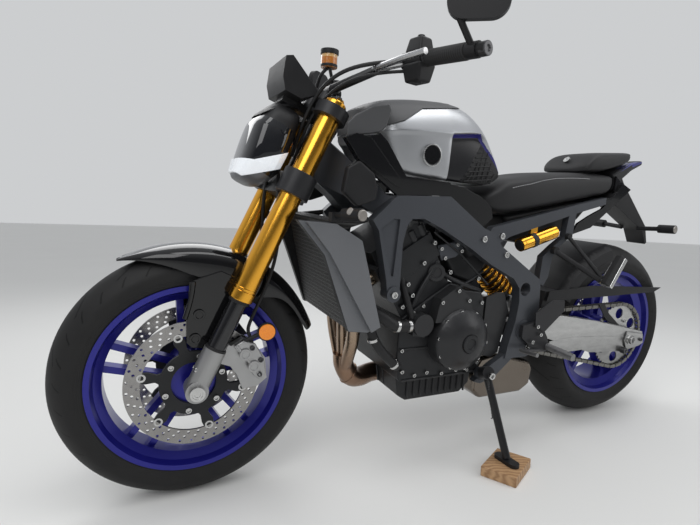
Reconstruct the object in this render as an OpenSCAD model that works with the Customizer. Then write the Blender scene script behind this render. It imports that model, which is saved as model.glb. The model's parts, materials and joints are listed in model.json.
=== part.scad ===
// Naked sport motorcycle, parked on its side stand with the foot on a wooden block.
// Millimetres. X runs forward, Y to the rider's left and Z up.
// Every piece is drawn on the upright machine, midway between the axles on the ground,
// and the whole machine is then leaned over and moved to the file's origin.

/* [Geometry] */
// Distance between the axles
wheelbase = 1430; // [1415:1:1445]
// Steering head angle from the vertical
rake = 24.7; // [24:0.1:25.4]
// Distance on the ground from tyre contact to steering axis
trail = 108; // [104:1:112]
// Lean to the left when parked
lean = 4; // [3.5:0.1:4.5]

/* [Wheels] */
// Front tyre radius
front_tyre_r = 300; // [296:1:304]
// Front tyre width
front_tyre_w = 120; // [114:1:126]
// Rear tyre radius
rear_tyre_r = 315; // [311:1:319]
// Rear tyre width
rear_tyre_w = 180; // [172:1:182]
// Height of the front tyre's section, bead seat to tread
front_tyre_h = 82; // [78:1:86]
// Height of the rear tyre's section, bead seat to tread
rear_tyre_h = 97; // [93:1:101]
// Radius of the wheel axles
axle_r = 10; // [8:0.5:11]
// Front brake disc radius
front_disc_r = 149; // [145:1:155]
// Rear brake disc radius
rear_disc_r = 122; // [110:1:125]
// Spoke pairs in each wheel
spoke_pairs = 5; // [4:1:6]

/* [Front end] */
// Fork legs, distance from the middle plane
fork_y = 105; // [103:1:108]
// Gold outer tube radius
fork_outer_r = 26.5; // [25:0.5:28]
// Black inner tube radius
fork_inner_r = 20.5; // [19:0.5:22]
// Steering stem radius
stem_r = 15; // [13:0.5:17]
// Steering lock to each side
steer_lock = 30; // [20:1:30]
// Bar end, distance from the middle plane
bar_end_y = 405; // [390:1:415]
// Radius of the handlebar at the grips
bar_r = 11; // [10:0.5:12]

/* [Frame and engine] */
// Thickness of the cast frame sides
frame_wall = 30; // [26:1:32]
// Outer face of the frame at the swingarm pivot, from the middle plane
frame_pivot_y = 152; // [151:0.5:155]
// Splay of the frame sides, rear to front
frame_splay = 2; // [1.5:0.1:2.5]
// Half width of the cylinder block
block_half_w = 122; // [110:1:124]
// Radius of the generator cover
generator_r = 88; // [80:1:92]
// Header pipe radius
header_r = 18; // [16:0.5:20]
// Half width of the radiator core
radiator_half_w = 148; // [140:1:149]

/* [Rear end] */
// Middle of the chain line
chain_y = 106; // [105.5:0.5:107]
// Pitch radius of the rear sprocket
rear_sprocket_r = 113.8; // [108:0.1:116]
// Pitch radius of the front sprocket
front_sprocket_r = 40.7; // [38:0.1:43]
// Half width of the silencer
silencer_half_w = 90; // [80:1:92]

/* [Bodywork] */
// Half width of the tank
tank_half_w = 147; // [140:1:149]
// Half width of the rider's seat
seat_half_w = 118; // [105:1:125]

/* [Stand] */
// Height of the wooden block under the stand
block_h = 28; // [22:1:34]

/* [Hidden] */
$fn = 48;
front_x = 715;
rear_x = front_x - wheelbase;
front_bead_r = front_tyre_r - front_tyre_h;
rear_bead_r = rear_tyre_r - rear_tyre_h;
front_axle_z = front_tyre_r;
rear_axle_z = rear_tyre_r;
front_crown_r = front_tyre_w * 0.52;
rear_crown_r = rear_tyre_w * 0.53;
rest_lift = rear_crown_r * (1 - cos(lean));
rest_x = (rear_tyre_r - rear_x - front_tyre_r - front_x) / 2;
rest_y = -1048 * sin(lean) - 4.74;
fork_x = -trail * cos(rake) + front_tyre_r * sin(rake);
axle_lz = trail * sin(rake) + front_tyre_r * cos(rake);
foot_top = axle_lz + 98;
slider_top = axle_lz + 222;
low_clamp_z = 831.7;
top_clamp_z = low_clamp_z + 183;
fork_top = top_clamp_z + 30;
pivot_x = -214;
pivot_z = 384;
sprocket_x = -128;
sprocket_z = 380;
stand_pivot = [-70, 172, 272];
stand_axis = [0.1114, 0.9206, 0.3743];
foot_world = [-92, 266, block_h + 0.3 - rest_lift];
stand_foot = [
    foot_world[0],
    foot_world[1] * cos(lean) - foot_world[2] * sin(lean),
    foot_world[1] * sin(lean) + foot_world[2] * cos(lean)
];
gold = [0.72, 0.52, 0.2];
blue = [0.06, 0.12, 0.45];
silver = [0.72, 0.73, 0.74];
dark = [0.2, 0.2, 0.22];
black = [0.07, 0.07, 0.08];
rubber = [0.05, 0.05, 0.05];

// The parked attitude of the whole machine
module parked() {
    translate([rest_x, rest_y, rest_lift])
        rotate([-lean, 0, 0])
            children();
}

// The frame of the steering: origin on the ground, Z up along the steering axis
module steering() {
    translate([front_x + trail, 0, 0])
        rotate([0, -rake, 0])
            children();
}

module both_sides() {
    children();
    mirror([0, 1, 0])
        children();
}

// A plate drawn in side view and given its two distances from the middle plane
module plate(points, y0, y1) {
    translate([0, y1, 0])
        rotate([90, 0, 0])
            linear_extrude(y1 - y0)
                polygon(points);
}

// A cylinder across the machine
module cross(x, z, r, y0, y1) {
    translate([x, y1, z])
        rotate([90, 0, 0])
            cylinder(h = y1 - y0, r = r);
}

// A round bar between two points
module rod(a, b, r) {
    d = b - a;
    translate(a)
        rotate([0, acos(d[2] / norm(d)), atan2(d[1], d[0])])
            cylinder(h = norm(d), r = r);
}

// A solid through rings of points, the first ring seen anticlockwise from outside
module skin(rings) {
    n = len(rings[0]);
    m = len(rings);
    sides = [
        for (i = [0 : m - 2])
            for (j = [0 : n - 1])
                for (half = [0 : 1])
                    half == 0
                        ? [i * n + j, i * n + (j + 1) % n, (i + 1) * n + (j + 1) % n]
                        : [i * n + j, (i + 1) * n + (j + 1) % n, (i + 1) * n + j]
    ];
    first = [for (j = [0 : n - 1]) n - 1 - j];
    last = [for (j = [0 : n - 1]) (m - 1) * n + j];
    polyhedron([for (ring = rings) for (p = ring) p], concat(sides, [first, last]), 4);
}

function bow(value, power) = sign(value) * pow(abs(value), power);

// A rounded section across the machine at x
function section(x, half_w, low, high, power, n) = [
    for (j = [0 : n - 1])
        [
            x,
            half_w * bow(cos(360 * j / n), power),
            (low + high) / 2 + (high - low) / 2 * bow(sin(360 * j / n), power)
        ]
];

// A rounded section across the steering axis at height z
function level(z, back, front, half_w, power, n) = [
    for (j = [0 : n - 1])
        [
            (back + front) / 2 + (front - back) / 2 * bow(cos(360 * j / n), power),
            half_w * bow(sin(360 * j / n), power),
            z
        ]
];

function unit(v) = v / norm(v);

function spline(p, i, t) =
    let (
        a = p[max(i - 1, 0)],
        b = p[i],
        c = p[i + 1],
        d = p[min(i + 2, len(p) - 1)]
    )
    0.5 * (2 * b + (c - a) * t + (2 * a - 5 * b + 4 * c - d) * t * t
        + (3 * b - a - 3 * c + d) * t * t * t);

function curve(p, steps) = [
    for (i = [0 : len(p) - 2])
        for (k = [0 : steps - (i == len(p) - 2 ? 0 : 1)])
            spline(p, i, k / steps)
];

function along(p, i) = unit(p[min(i + 1, len(p) - 1)] - p[max(i - 1, 0)]);

// A round tube along a smooth path; aside is never parallel to it
module pipe(points, r, aside, steps, sides) {
    path = curve(points, steps);
    skin([
        for (i = [0 : len(path) - 1])
            let (d = along(path, i), u = unit(cross(aside, d)), v = cross(d, u))
            [for (j = [0 : sides - 1]) path[i] + r * (u * cos(360 * j / sides) - v * sin(360 * j / sides))]
    ]);
}

// Frame sides are splayed about the pivot's outer face
module splayed() {
    translate([pivot_x, frame_pivot_y, 0])
        rotate([0, 0, frame_splay])
            translate([-pivot_x, -frame_pivot_y, 0])
                children();
}

head_low = low_clamp_z + 34;
head_high = top_clamp_z - 18;
head_mid = (head_low + head_high) / 2;
head_x = front_x + trail - head_mid * sin(rake);
head_z = head_mid * cos(rake);
spar_start = [258, frame_pivot_y - 6, 0];
spar_yaw = atan2(-spar_start[1], head_x - spar_start[0]);
spar_len = norm([head_x - spar_start[0], spar_start[1]]);

// Cast twin-spar frame: head, spars, front legs and pivot plates
module main_frame() {
    side = [
        [330, 697], [312, 672], [281, 549], [275, 512], [262, 498], [246, 502], [240, 527],
        [241, 640], [232, 685], [218, 702], [182, 704], [117, 677], [19, 628], [-57, 584],
        [-152, 541], [-178, 512], [-184, 470], [-178, 413], [-158, 340], [-152, 300], [-236, 298],
        [-264, 306], [-250, 371], [-271, 445], [-263, 533], [-90, 636], [-62, 670], [-20, 684],
        [12, 704], [105, 763], [266, 757]
    ];
    pocket = [[306, 678], [270, 702], [254, 700], [262, 560], [268, 560]];
    color(dark)
        difference() {
            union() {
                both_sides() {
                    splayed()
                        difference() {
                            plate(side, frame_pivot_y - frame_wall, frame_pivot_y);
                            cross(-203, 508, 20, 0, 300);
                            plate(pocket, frame_pivot_y - 6, frame_pivot_y + 10);
                        }
                    splayed()
                        cross(258, 514, 20, frame_pivot_y - frame_wall + 1, frame_pivot_y + 4);
                    cross(pivot_x, pivot_z, 30, 116.4, frame_pivot_y + 3);
                    translate(spar_start)
                        rotate([0, 0, spar_yaw])
                            plate(
                                [
                                    [-16, 702], [-16, 756], [22, 756], [60, 790], [spar_len - 28, head_z + 50],
                                    [spar_len - 12, head_z + 50], [spar_len, head_z],
                                    [spar_len + 12, head_z - 52], [spar_len - 4, head_z - 60],
                                    [110, 742], [20, 694]
                                ],
                                -12, 14
                            );
                }
                steering()
                    translate([0, 0, head_low])
                        cylinder(h = head_high - head_low, r = 36);
                cross(-112, 600, 15, -130, 130);
                plate([[-46, 240], [-100, 282], [-150, 310], [-190, 340], [-190, 302], [-120, 244],
                    [-70, 232]], 130, 150);
                rod(stand_pivot - stand_axis * 36, stand_pivot - stand_axis * 15.5, 19);
            }
            steering()
                translate([0, 0, head_low - 1])
                    cylinder(h = head_high - head_low + 2, r = stem_r + 0.4);
        }
}

// Bolted rear subframe rails with their stays and cross tubes
module subframe() {
    inner = frame_pivot_y - frame_wall - 22;
    outer = frame_pivot_y - frame_wall - 0.3;
    color(dark) {
        both_sides()
            splayed() {
                plate(
                    [
                        [-62, 664], [-80, 686], [-110, 692], [-415, 762], [-560, 792], [-560, 770],
                        [-430, 738], [-150, 660], [-110, 640], [-72, 644]
                    ],
                    inner, outer
                );
                plate(
                    [
                        [-392, 740], [-424, 742], [-418, 668], [-360, 630], [-338, 596], [-330, 536],
                        [-312, 508], [-292, 520], [-296, 600], [-340, 634], [-384, 662]
                    ],
                    inner, outer
                );
            }
        cross(-330, 726, 10, -105, 105);
        cross(-540, 778, 10, -100, 100);
    }
}

// Crankcase with the oil pan below it
module crankcase() {
    color(black) {
        plate(
            [
                [196, 262], [207, 330], [206, 400], [200.3, 438.3], [54.4, 529.4], [36, 528],
                [0, 508], [-60, 500], [-76, 470], [-76, 262]
            ],
            -129, 129
        );
        plate([[-70, 470], [-70, 290], [-160, 320], [-162, 440], [-130, 470]], -112, 90);
        plate([[186, 262.5], [176, 205], [150, 188], [-40, 188], [-72, 215], [-74, 262.5]], -26, 100);
    }
}

// Leaning cylinder block, head and cover
module cylinders() {
    color(dark)
        translate([100, 0, 440])
            rotate([0, 32, 0]) {
                translate([-86, -block_half_w, 52])
                    cube([172, 2 * block_half_w, 88]);
                translate([-94, -block_half_w - 2, 139])
                    cube([188, 2 * block_half_w + 4, 70]);
                translate([-80, -block_half_w + 6, 208])
                    cube([160, 2 * block_half_w - 12, 42]);
            }
}

// Generator, clutch, water pump and sprocket covers
module engine_covers() {
    color(dark) {
        translate([26, 129.4, 377])
            rotate([-90, 0, 0])
                rotate_extrude()
                    polygon([
                        [0, 0], [generator_r, 0], [generator_r, 34], [generator_r - 6, 46],
                        [generator_r - 24, 60], [46, 70], [27, 73], [27, 70], [0, 70]
                    ]);
        plate([[118, 430], [106, 494], [54, 526], [10, 496], [-14, 430]], 129.4, 164);
        translate([-20, -129.4, 372])
            rotate([90, 0, 0])
                rotate_extrude()
                    polygon([[0, 0], [98, 0], [98, 30], [88, 48], [60, 58], [0, 60]]);
        cross(150, 424, 30, 129.4, 160);
        plate([[128, 448], [176, 444], [178, 396], [140, 388]], 129.4, 152);
        plate([[-82, 310], [-82, 484], [-120, 494], [-148, 494], [-172, 438], [-146, 312], [-120, 300]],
            118, 127);
        cross(-92, 330, 7, 90.3, 119);
    }
}

// Three header pipes, collector and pipe to the silencer
module exhaust_pipes() {
    color([0.45, 0.36, 0.26]) {
        for (y = [-80, 0, 80])
            pipe(
                [
                    [272.8, y, 538.3], [283, y, 531.9], [293.2, y, 525.6], [312, y, 490],
                    [314, y * 0.95, 440], [310, y * 0.8, 370],
                    [304, y * 0.45 - 4, 310], [300, y * 0.2 - 8, 275]
                ],
                header_r, [0, 1, 0], 4, 16
            );
        pipe(
            [
                [302, -6, 306], [297, -8, 272], [272, -16, 232], [232, -34, 216], [170, -62, 214],
                [60, -68, 214], [-98, -68, 214]
            ],
            29, [0, 1, 0], 4, 18
        );
    }
}

// Silencer box under the pivot
module silencer() {
    color([0.4, 0.36, 0.32])
        plate(
            [
                [-99, 176], [-99, 250], [-120, 282], [-180, 290], [-330, 250], [-346, 226], [-340, 170],
                [-300, 148], [-130, 148]
            ],
            -silencer_half_w, silencer_half_w
        );
}

// Radiator core with its brackets and hoses
module radiator() {
    color(black)
        union() {
            plate([[434, 690], [400, 694], [338, 436], [374, 430]], -radiator_half_w, radiator_half_w);
            both_sides()
                plate([[408, 692], [400, 668], [331.2, 690], [331.2, 702]], 140, radiator_half_w);
            pipe(
                [
                    [346, 126, 472], [318, 129, 468], [292, 131, 462], [264, 140, 446], [236, 146, 428],
                    [212, 146, 422], [196, 146, 422], [180.8, 146, 422]
                ],
                16, [0, 0, 1], 4, 16
            );
        }
}

// Side covers of the radiator
module radiator_shrouds() {
    color(silver * 0.7)
        both_sides() {
            plate(
                [
                    [515, 691], [427, 688], [356, 650], [330, 560], [290, 432], [321, 419], [374, 426],
                    [446, 612]
                ],
                radiator_half_w + 0.4, radiator_half_w + 18
            );
            plate(
                [[498, 688], [427, 686], [359, 648], [333, 560], [294, 436], [318, 424], [438, 618]],
                radiator_half_w + 17, radiator_half_w + 34
            );
        }
}

// A section across the tank: underside, side wall, crease, shoulder and crown
function tank_ring(x, low, low_w, side_w, under_w, crease_w, crease_z, shoulder_w, shoulder_z, top_w, top_z) =
    let (
        half = [
            [low_w - 12, low], [low_w, low + 6], [side_w, (low + crease_z) / 2], [under_w, crease_z - 12],
            [crease_w, crease_z], [(crease_w + shoulder_w) / 2 + 2, (crease_z + shoulder_z) / 2 + 3],
            [shoulder_w, shoulder_z], [top_w, top_z], [top_w * 0.4, top_z + 3]
        ],
        k = tank_half_w / 152
    )
    concat(
        [for (p = half) [x, p[0] * k, p[1]]],
        [for (i = [len(half) - 1 : -1 : 0]) [x, -half[i][0] * k, half[i][1]]]
    );

// Outside of the tank and of the cover on its front, before they are parted
module tank_form() {
    skin([
        tank_ring(318, 882, 92, 98, 100, 102, 908, 97, 938, 86, 966),
        tank_ring(300, 868, 100, 108, 112, 114, 908, 105, 945, 92, 979),
        tank_ring(278, 842, 124, 130, 134, 137, 911, 117, 954, 93, 987),
        tank_ring(245, 806, 142, 146, 148, 150, 916, 121, 960, 92, 994),
        tank_ring(180, 802, 145, 148, 150, 152, 919, 117, 976, 88, 1003),
        tank_ring(102, 800, 145, 148, 150, 152, 922, 112, 988, 82, 1007),
        tank_ring(95, 800, 126, 128, 130, 150, 923, 111, 989, 82, 1007),
        tank_ring(40, 797, 118, 122, 124, 143, 931, 106, 986, 70, 1006),
        tank_ring(0, 797, 112, 116, 117, 134, 935, 99, 972, 56, 1000),
        tank_ring(-30, 798, 108, 110, 111, 122, 922, 92, 950, 49, 976),
        tank_ring(-60, 796, 104, 107, 107, 110, 892, 86, 915, 45, 937),
        tank_ring(-90, 806, 98, 101, 101, 100, 862, 84, 876, 40, 888),
        tank_ring(-114, 820, 88, 90, 90, 88, 838, 76, 846, 36, 852)
    ]);
}

// Side view of what the front cover takes from the tank
function tank_cover_line(gap) = [
    [420, 904 + gap], [322, 908 + gap], [241, 938 + gap], [180, 976 + gap], [59, 994 + gap],
    [20, 1004 + gap], [20, 1060], [420, 1060]
];

// Fuel tank
module fuel_tank() {
    color(silver) {
        both_sides()
            plate([[130, 763.6], [170, 761.6], [170, 840], [130, 840]], 135, tank_half_w - 8);
        difference() {
            tank_form();
            plate(tank_cover_line(0), -300, 300);
        }
    }
}

// Gloss scoops along the sides of the tank, and the covers below its rear
module tank_side_panels() {
    color(black)
        both_sides() {
            plate(
                [
                    [412, 879], [327, 893], [322, 898], [300, 880], [243, 804.5], [110, 798], [108, 763.8],
                    [264, 758.4], [374, 832]
                ],
                tank_half_w + 0.6, tank_half_w + 16
            );
            plate([[412, 879], [385, 890], [348, 885], [262, 796], [262, 775], [374, 832]],
                tank_half_w + 15, tank_half_w + 22);
            plate(
                [
                    [100, 760.1], [94, 796], [45, 790], [-20, 766], [-56, 740], [-64, 712], [-40, 692],
                    [-18, 686], [14, 705.6]
                ],
                106, 136
            );
        }
}

// Grey cover over the front of the tank, with wings beside the steering head
module tank_nose() {
    color(silver * 0.6) {
        intersection() {
            tank_form();
            plate(tank_cover_line(0.5), -300, 300);
        }
        both_sides()
            plate(
                [
                    [402, 881.2], [404, 912], [384, 932], [340, 956], [300, 966], [292, 952], [304, 912],
                    [322.2, 898.6], [327.1, 893.6]
                ],
                tank_half_w + 2.5, tank_half_w + 10
            );
    }
}

// Rider's seat
module rider_seat() {
    w = seat_half_w;
    foot_in = frame_pivot_y - frame_wall - 20;
    color(rubber) {
        both_sides()
            splayed() {
                plate([[-190, 711], [-210, 716], [-210, 760], [-190, 760]], foot_in, foot_in + 16);
                plate([[-400, 759.4], [-414, 762.6], [-414, 800], [-400, 800]], foot_in, foot_in + 16);
            }
        skin([
            section(-60, w - 34, 744, 768, 0.5, 24),
            section(-92, w - 18, 727, 789, 0.5, 24),
            section(-116, w - 12, 720, 806, 0.5, 24),
            section(-132, w - 8, 719, 823, 0.5, 24),
            section(-165, w - 4, 722, 831, 0.5, 24),
            section(-215, w, 732, 839, 0.5, 24),
            section(-262, w, 740, 850, 0.5, 24),
            section(-320, w - 4, 750, 859, 0.5, 24),
            section(-445, w - 12, 774, 867, 0.5, 24),
            section(-552, w - 20, 794, 871, 0.5, 24),
            section(-590, w - 22, 801, 870, 0.5, 24),
            section(-612, w - 28, 836, 866, 0.5, 24)
        ]);
    }
}

// Passenger's seat
module passenger_seat() {
    color(rubber)
        skin([
            section(-468, 84, 868.2, 884, 0.5, 24),
            section(-484, 94, 868.8, 908, 0.5, 24),
            section(-510, 97, 869.9, 931, 0.5, 24),
            section(-540, 98, 871.1, 938, 0.5, 24),
            section(-583, 96, 880, 942, 0.5, 24),
            section(-650, 82, 900, 948, 0.5, 24),
            section(-755, 56, 931, 958, 0.5, 24)
        ]);
}

// Tail cowl under the passenger's seat, with the blades down to the subframe
module tail_cowl() {
    color(black) {
        both_sides()
            plate(
                [
                    [-616, 866], [-640, 850], [-700, 826], [-660, 796], [-525, 692], [-441, 668], [-462, 704],
                    [-513, 731], [-567, 755], [-604, 788], [-616, 812]
                ],
                84, 92
            );
        skin([
            section(-614, 88, 808, 878, 0.5, 20),
            section(-650, 80, 836, 894, 0.5, 20),
            section(-740, 58, 888, 922, 0.5, 20),
            section(-825, 34, 918, 936, 0.5, 20)
        ]);
        plate(
            [
                [-559.3, 771], [-559.3, 788], [-600, 794], [-622, 815], [-640, 838], [-646, 812], [-612, 776]
            ],
            -100, 100
        );
    }
}

// Tail lamp
module tail_lamp() {
    color([0.5, 0.05, 0.05])
        skin([
            section(-825.4, 32, 919, 935, 0.5, 16),
            section(-838, 26, 922, 933, 0.5, 16)
        ]);
}

// Plate carrier under the tail with the rear indicators
module plate_carrier() {
    color(black) {
        plate([[-655, 800], [-655, 838.3], [-720, 875.8], [-740, 850], [-900, 700], [-920, 640], [-912, 634],
            [-880, 686]], -36, 36);
        both_sides() {
            rod([-862, 30, 692], [-866, 110, 698], 8);
            rod([-866, 106, 698], [-868, 160, 700], 15);
        }
    }
}

// Swingarm with its cross box and both arms
module swingarm() {
    arm = [
        [-278, 356], [-276, 402], [-300, 419], [-378, 417], [rear_x + 183, rear_axle_z + 76],
        [rear_x + 34, rear_axle_z + 45], [rear_x - 75, rear_axle_z + 21], [rear_x - 87, rear_axle_z - 21],
        [rear_x - 65, rear_axle_z - 31], [rear_x + 24, rear_axle_z - 43],
        [rear_x + 190, rear_axle_z - 31], [-400, 322], [-328, 346]
    ];
    color(silver)
        difference() {
            union() {
                both_sides() {
                    plate(arm, 121.5, 152);
                }
                plate([[-278, 352], [-278, 402], [-300, 410], [-372, 408], [-372, 338], [-330, 340]],
                    -122, 122);
                plate([[-180, 360], [-186, 398], [-280, 402], [-280, 352], [-190, 352]], -116, 116);
                both_sides()
                    plate([[-262, 400], [-318, 410], [-302, 456], [-274, 456]], 16.5, 27);
                cross(shock_low[0], shock_low[2], 8, -26, 26);
            }
            cross(rear_x, rear_axle_z, axle_r + 0.3, -200, 200);
        }
}

// Rear wheel axle
module rear_axle() {
    color(silver)
        difference() {
            union() {
                cross(rear_x, rear_axle_z, axle_r, -164, 164);
                cross(rear_x, rear_axle_z, 17, 152.3, 164);
                cross(rear_x, rear_axle_z, 17, -164, -152.3);
            }
            cross(rear_x, rear_axle_z, 5, -170, 170);
        }
}

// Hugger over the rear tyre with the long chain guard
module rear_hugger() {
    color(black) {
        translate([rear_x, 0, rear_axle_z])
            rotate([90, 0, 0])
                rotate([0, 0, 27])
                    rotate_extrude(angle = 50)
                        polygon([
                            [326, -70], [310, -94], [280, -96], [280, -100], [312, -98], [330, -72],
                            [330, 72], [312, 98], [280, 100], [280, 96], [310, 94], [326, 70]
                        ]);
        plate([[-352, 452], [-362, 484], [-560, 498], [-940, 480], [-900, 464], [-600, 456]], 99, 104);
        plate([[-336, 409.4], [-366, 408.6], [-420, 468], [-427, 478], [-404, 486], [-352, 484]], -95.5, 95.5);
    }
}

module chain_loop(extra) {
    dx = rear_x - sprocket_x;
    dz = rear_axle_z - sprocket_z;
    ra = front_sprocket_r + extra;
    rb = rear_sprocket_r + extra;
    d = norm([dx, dz]);
    a = atan2(dz, dx);
    b = acos((ra - rb) / d);
    c = acos((front_sprocket_r - rear_sprocket_r) / d);
    polygon(concat(
        [for (k = [0 : 12]) let (t = a + c + (360 - 2 * c) * k / 12)
            [sprocket_x + ra * cos(t), sprocket_z + ra * sin(t)]],
        [for (k = [0 : 24]) let (t = a - c + 2 * c * k / 24)
            [rear_x + rb * cos(t), rear_axle_z + rb * sin(t)]]
    ));
}

// Drive chain: two runs of side plates and the line of rollers between them
module drive_chain() {
    color(silver * 0.8) {
        for (y = [chain_y - 9.5, chain_y + 4.5])
            translate([0, y + 5, 0])
                rotate([90, 0, 0])
                    linear_extrude(5)
                        difference() {
                            chain_loop(7.5);
                            chain_loop(-7.5);
                        }
        translate([0, chain_y + 5, 0])
            rotate([90, 0, 0])
                linear_extrude(10)
                    difference() {
                        chain_loop(4);
                        chain_loop(-4);
                    }
    }
}

// Rear brake caliper and its bracket on the right arm
module rear_caliper() {
    color(black)
        translate([rear_x, 0, rear_axle_z])
        difference() {
            union() {
                plate([[75, 95], [155, 87], [149, 45], [93, 37], [65, 61]], -118, -64);
                plate([[75, 47], [139, 47], [139, 25], [75, 21]], -118, -100);
                cross(115, 35, 6, -121.2, -110);
            }
            cross(0, 0, rear_disc_r + 5, -96, -80);
        }
}

shock_low = [-288, 0, 437];
shock_top = [-112, 0, 600];
shock_run = unit(shock_top - shock_low);

// Rear shock with its spring, and the gas reservoir at the left
module rear_shock() {
    color(gold) {
        difference() {
            union() {
                rod(shock_low, shock_top, 12);
                rod(shock_low + shock_run * 26, shock_low + shock_run * 150, 21);
                rod(shock_low + shock_run * 40, shock_low + shock_run * 190, 33);
                cross(shock_low[0], shock_low[2], 18, -16, 16);
                cross(shock_top[0], shock_top[2], 23, -14, 14);
            }
            cross(shock_low[0], shock_low[2], 8.3, -40, 40);
            cross(shock_top[0], shock_top[2], 15.3, -40, 40);
        }
        rod([-200, 112, 634], [-336, 112, 676], 20);
        plate([[-238, 650], [-264, 660], [-264, 691.3], [-238, 684]], 104, 114);
    }
}

// Rider's pegs with hangers, heel plates and foot levers
module rider_pegs() {
    color(silver * 0.6)
        both_sides() {
            plate([[-196, 402], [-196, 366], [-240, 330], [-300, 312], [-318, 324], [-300, 360], [-262, 412]],
                157, 168);
            plate([[-235, 439], [-303, 475], [-350, 473], [-353, 439], [-279, 378], [-240, 400]],
                169, 173);
            cross(-262, 396, 8, 160, 170);
            cross(pivot_x, pivot_z, 20, frame_pivot_y + 3.2, 160);
            rod([-306, 160, 330], [-318, 252, 322], 11);
            rod([-300, 165, 318], [-190, 178, 330], 5);
            rod([-190, 172, 330], [-190, 236, 336], 6);
        }
}

// Passenger's pegs on their brackets
module passenger_pegs() {
    color(black)
        both_sides() {
            rod([-340, 126, 617], [-432, 226, 540], 8);
            rod([-394, 124, 660], [-436, 226, 546], 6);
            splayed() {
                cross(-336, 620, 12, frame_pivot_y - frame_wall, frame_pivot_y - frame_wall + 14);
                cross(-392, 664, 10, frame_pivot_y - frame_wall, frame_pivot_y - frame_wall + 12);
            }
            rod([-426, 232, 532], [-474, 240, 612], 11);
        }
}

// Front indicators on their stalks
module front_indicators() {
    color(black)
        both_sides() {
            translate([404, 158, 688.8])
                cube([34, 20, 22]);
            rod([424, 176, 704], [418, 212, 708], 8);
            rod([420, 206, 708], [404, 258, 711], 15);
        }
}

// Air ducts beside the steering head
module side_ducts() {
    color(black)
        both_sides()
            plate([[411, 757], [402, 814], [374, 831.2], [333, 803.8], [322, 770], [326, 742], [372, 726]],
                tank_half_w + 2, tank_half_w + 26);
}

// Wooden block under the stand's foot, standing on the ground
module stand_block() {
    color([0.6, 0.45, 0.28])
        rotate([lean, 0, 0])
            translate([foot_world[0], foot_world[1], -rest_lift])
                rotate([0, 0, 28])
                    translate([-66, -48, 0])
                        cube([132, 96, block_h]);
}

// Upper fork clamp with the handlebar risers
module upper_clamp() {
    color(dark)
        steering()
            difference() {
                union() {
                    translate([0, 0, top_clamp_z - 14])
                        linear_extrude(28) {
                            translate([fork_x, fork_y])
                                circle(r = 40);
                            translate([fork_x, -fork_y])
                                circle(r = 40);
                            polygon([[-30, -30], [-30, 30], [0, 100], [62, 100], [44, 30], [44, -30],
                                [62, -100], [0, -100]]);
                        }
                    both_sides()
                        translate([fork_x + 12, 46, top_clamp_z + 13])
                            cylinder(h = 40, r = 20);
                    translate([0, 0, top_clamp_z + 13])
                        cylinder(h = 14, r = 20);
                }
                both_sides()
                    translate([fork_x, fork_y, 0])
                        cylinder(h = 2000, r = fork_outer_r + 0.2);
                translate([0, 0, top_clamp_z - 40])
                    cylinder(h = 52, r = stem_r + 0.3);
            }
}

// Lower fork clamp with the steering stem
module lower_clamp() {
    color(dark)
        steering()
            difference() {
                union() {
                    translate([0, 0, low_clamp_z - 28])
                        linear_extrude(56) {
                            translate([fork_x, fork_y])
                                circle(r = 40);
                            translate([fork_x, -fork_y])
                                circle(r = 40);
                            polygon([[-32, -34], [-32, 34], [0, 100], [58, 100], [46, 30], [46, -30],
                                [58, -100], [0, -100]]);
                        }
                    translate([0, 0, low_clamp_z])
                        cylinder(h = top_clamp_z + 11 - low_clamp_z, r = stem_r);
                }
                both_sides()
                    translate([fork_x, fork_y, 0])
                        cylinder(h = 2000, r = fork_outer_r + 0.2);
            }
}

// Gold upper tubes of the fork
module fork_tubes() {
    color(gold)
        steering()
            both_sides()
                translate([fork_x, fork_y, 0])
                    rotate_extrude()
                        polygon([
                            [fork_inner_r + 0.3, slider_top], [fork_outer_r - 1, slider_top],
                            [fork_outer_r, slider_top + 6], [fork_outer_r, fork_top - 6],
                            [fork_outer_r - 4, fork_top], [0, fork_top], [0, fork_top - 26],
                            [fork_inner_r + 0.3, fork_top - 26]
                        ]);
}

// Black inner tubes of the fork
module fork_sliders() {
    color(black)
        steering()
            both_sides()
                translate([fork_x, fork_y, foot_top - 30])
                    cylinder(h = slider_top + 180 - foot_top + 30, r = fork_inner_r);
}

// Cast fork feet that carry the axle
module fork_feet() {
    color(dark)
        steering()
            both_sides()
                difference() {
                    union() {
                        translate([fork_x, fork_y, axle_lz])
                            cylinder(h = foot_top - axle_lz, r = fork_inner_r + 5);
                        translate([fork_x, fork_y, axle_lz])
                            rotate([90, 0, 0])
                                translate([0, 0, -24])
                                    cylinder(h = 46, r = 25);
                    }
                    translate([fork_x, fork_y, foot_top - 30.3])
                        cylinder(h = 60, r = fork_inner_r + 0.2);
                    translate([fork_x, fork_y, axle_lz])
                        rotate([90, 0, 0])
                            cylinder(h = 200, r = axle_r + 0.3, center = true);
                }
}

// Front wheel axle
module front_axle() {
    color(silver)
        difference() {
            union() {
                cross(front_x, front_axle_z, axle_r, -136, 138);
                cross(front_x, front_axle_z, 16, fork_y + 25.9, 138);
            }
            cross(front_x, front_axle_z, 6, -150, 150);
        }
}

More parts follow.
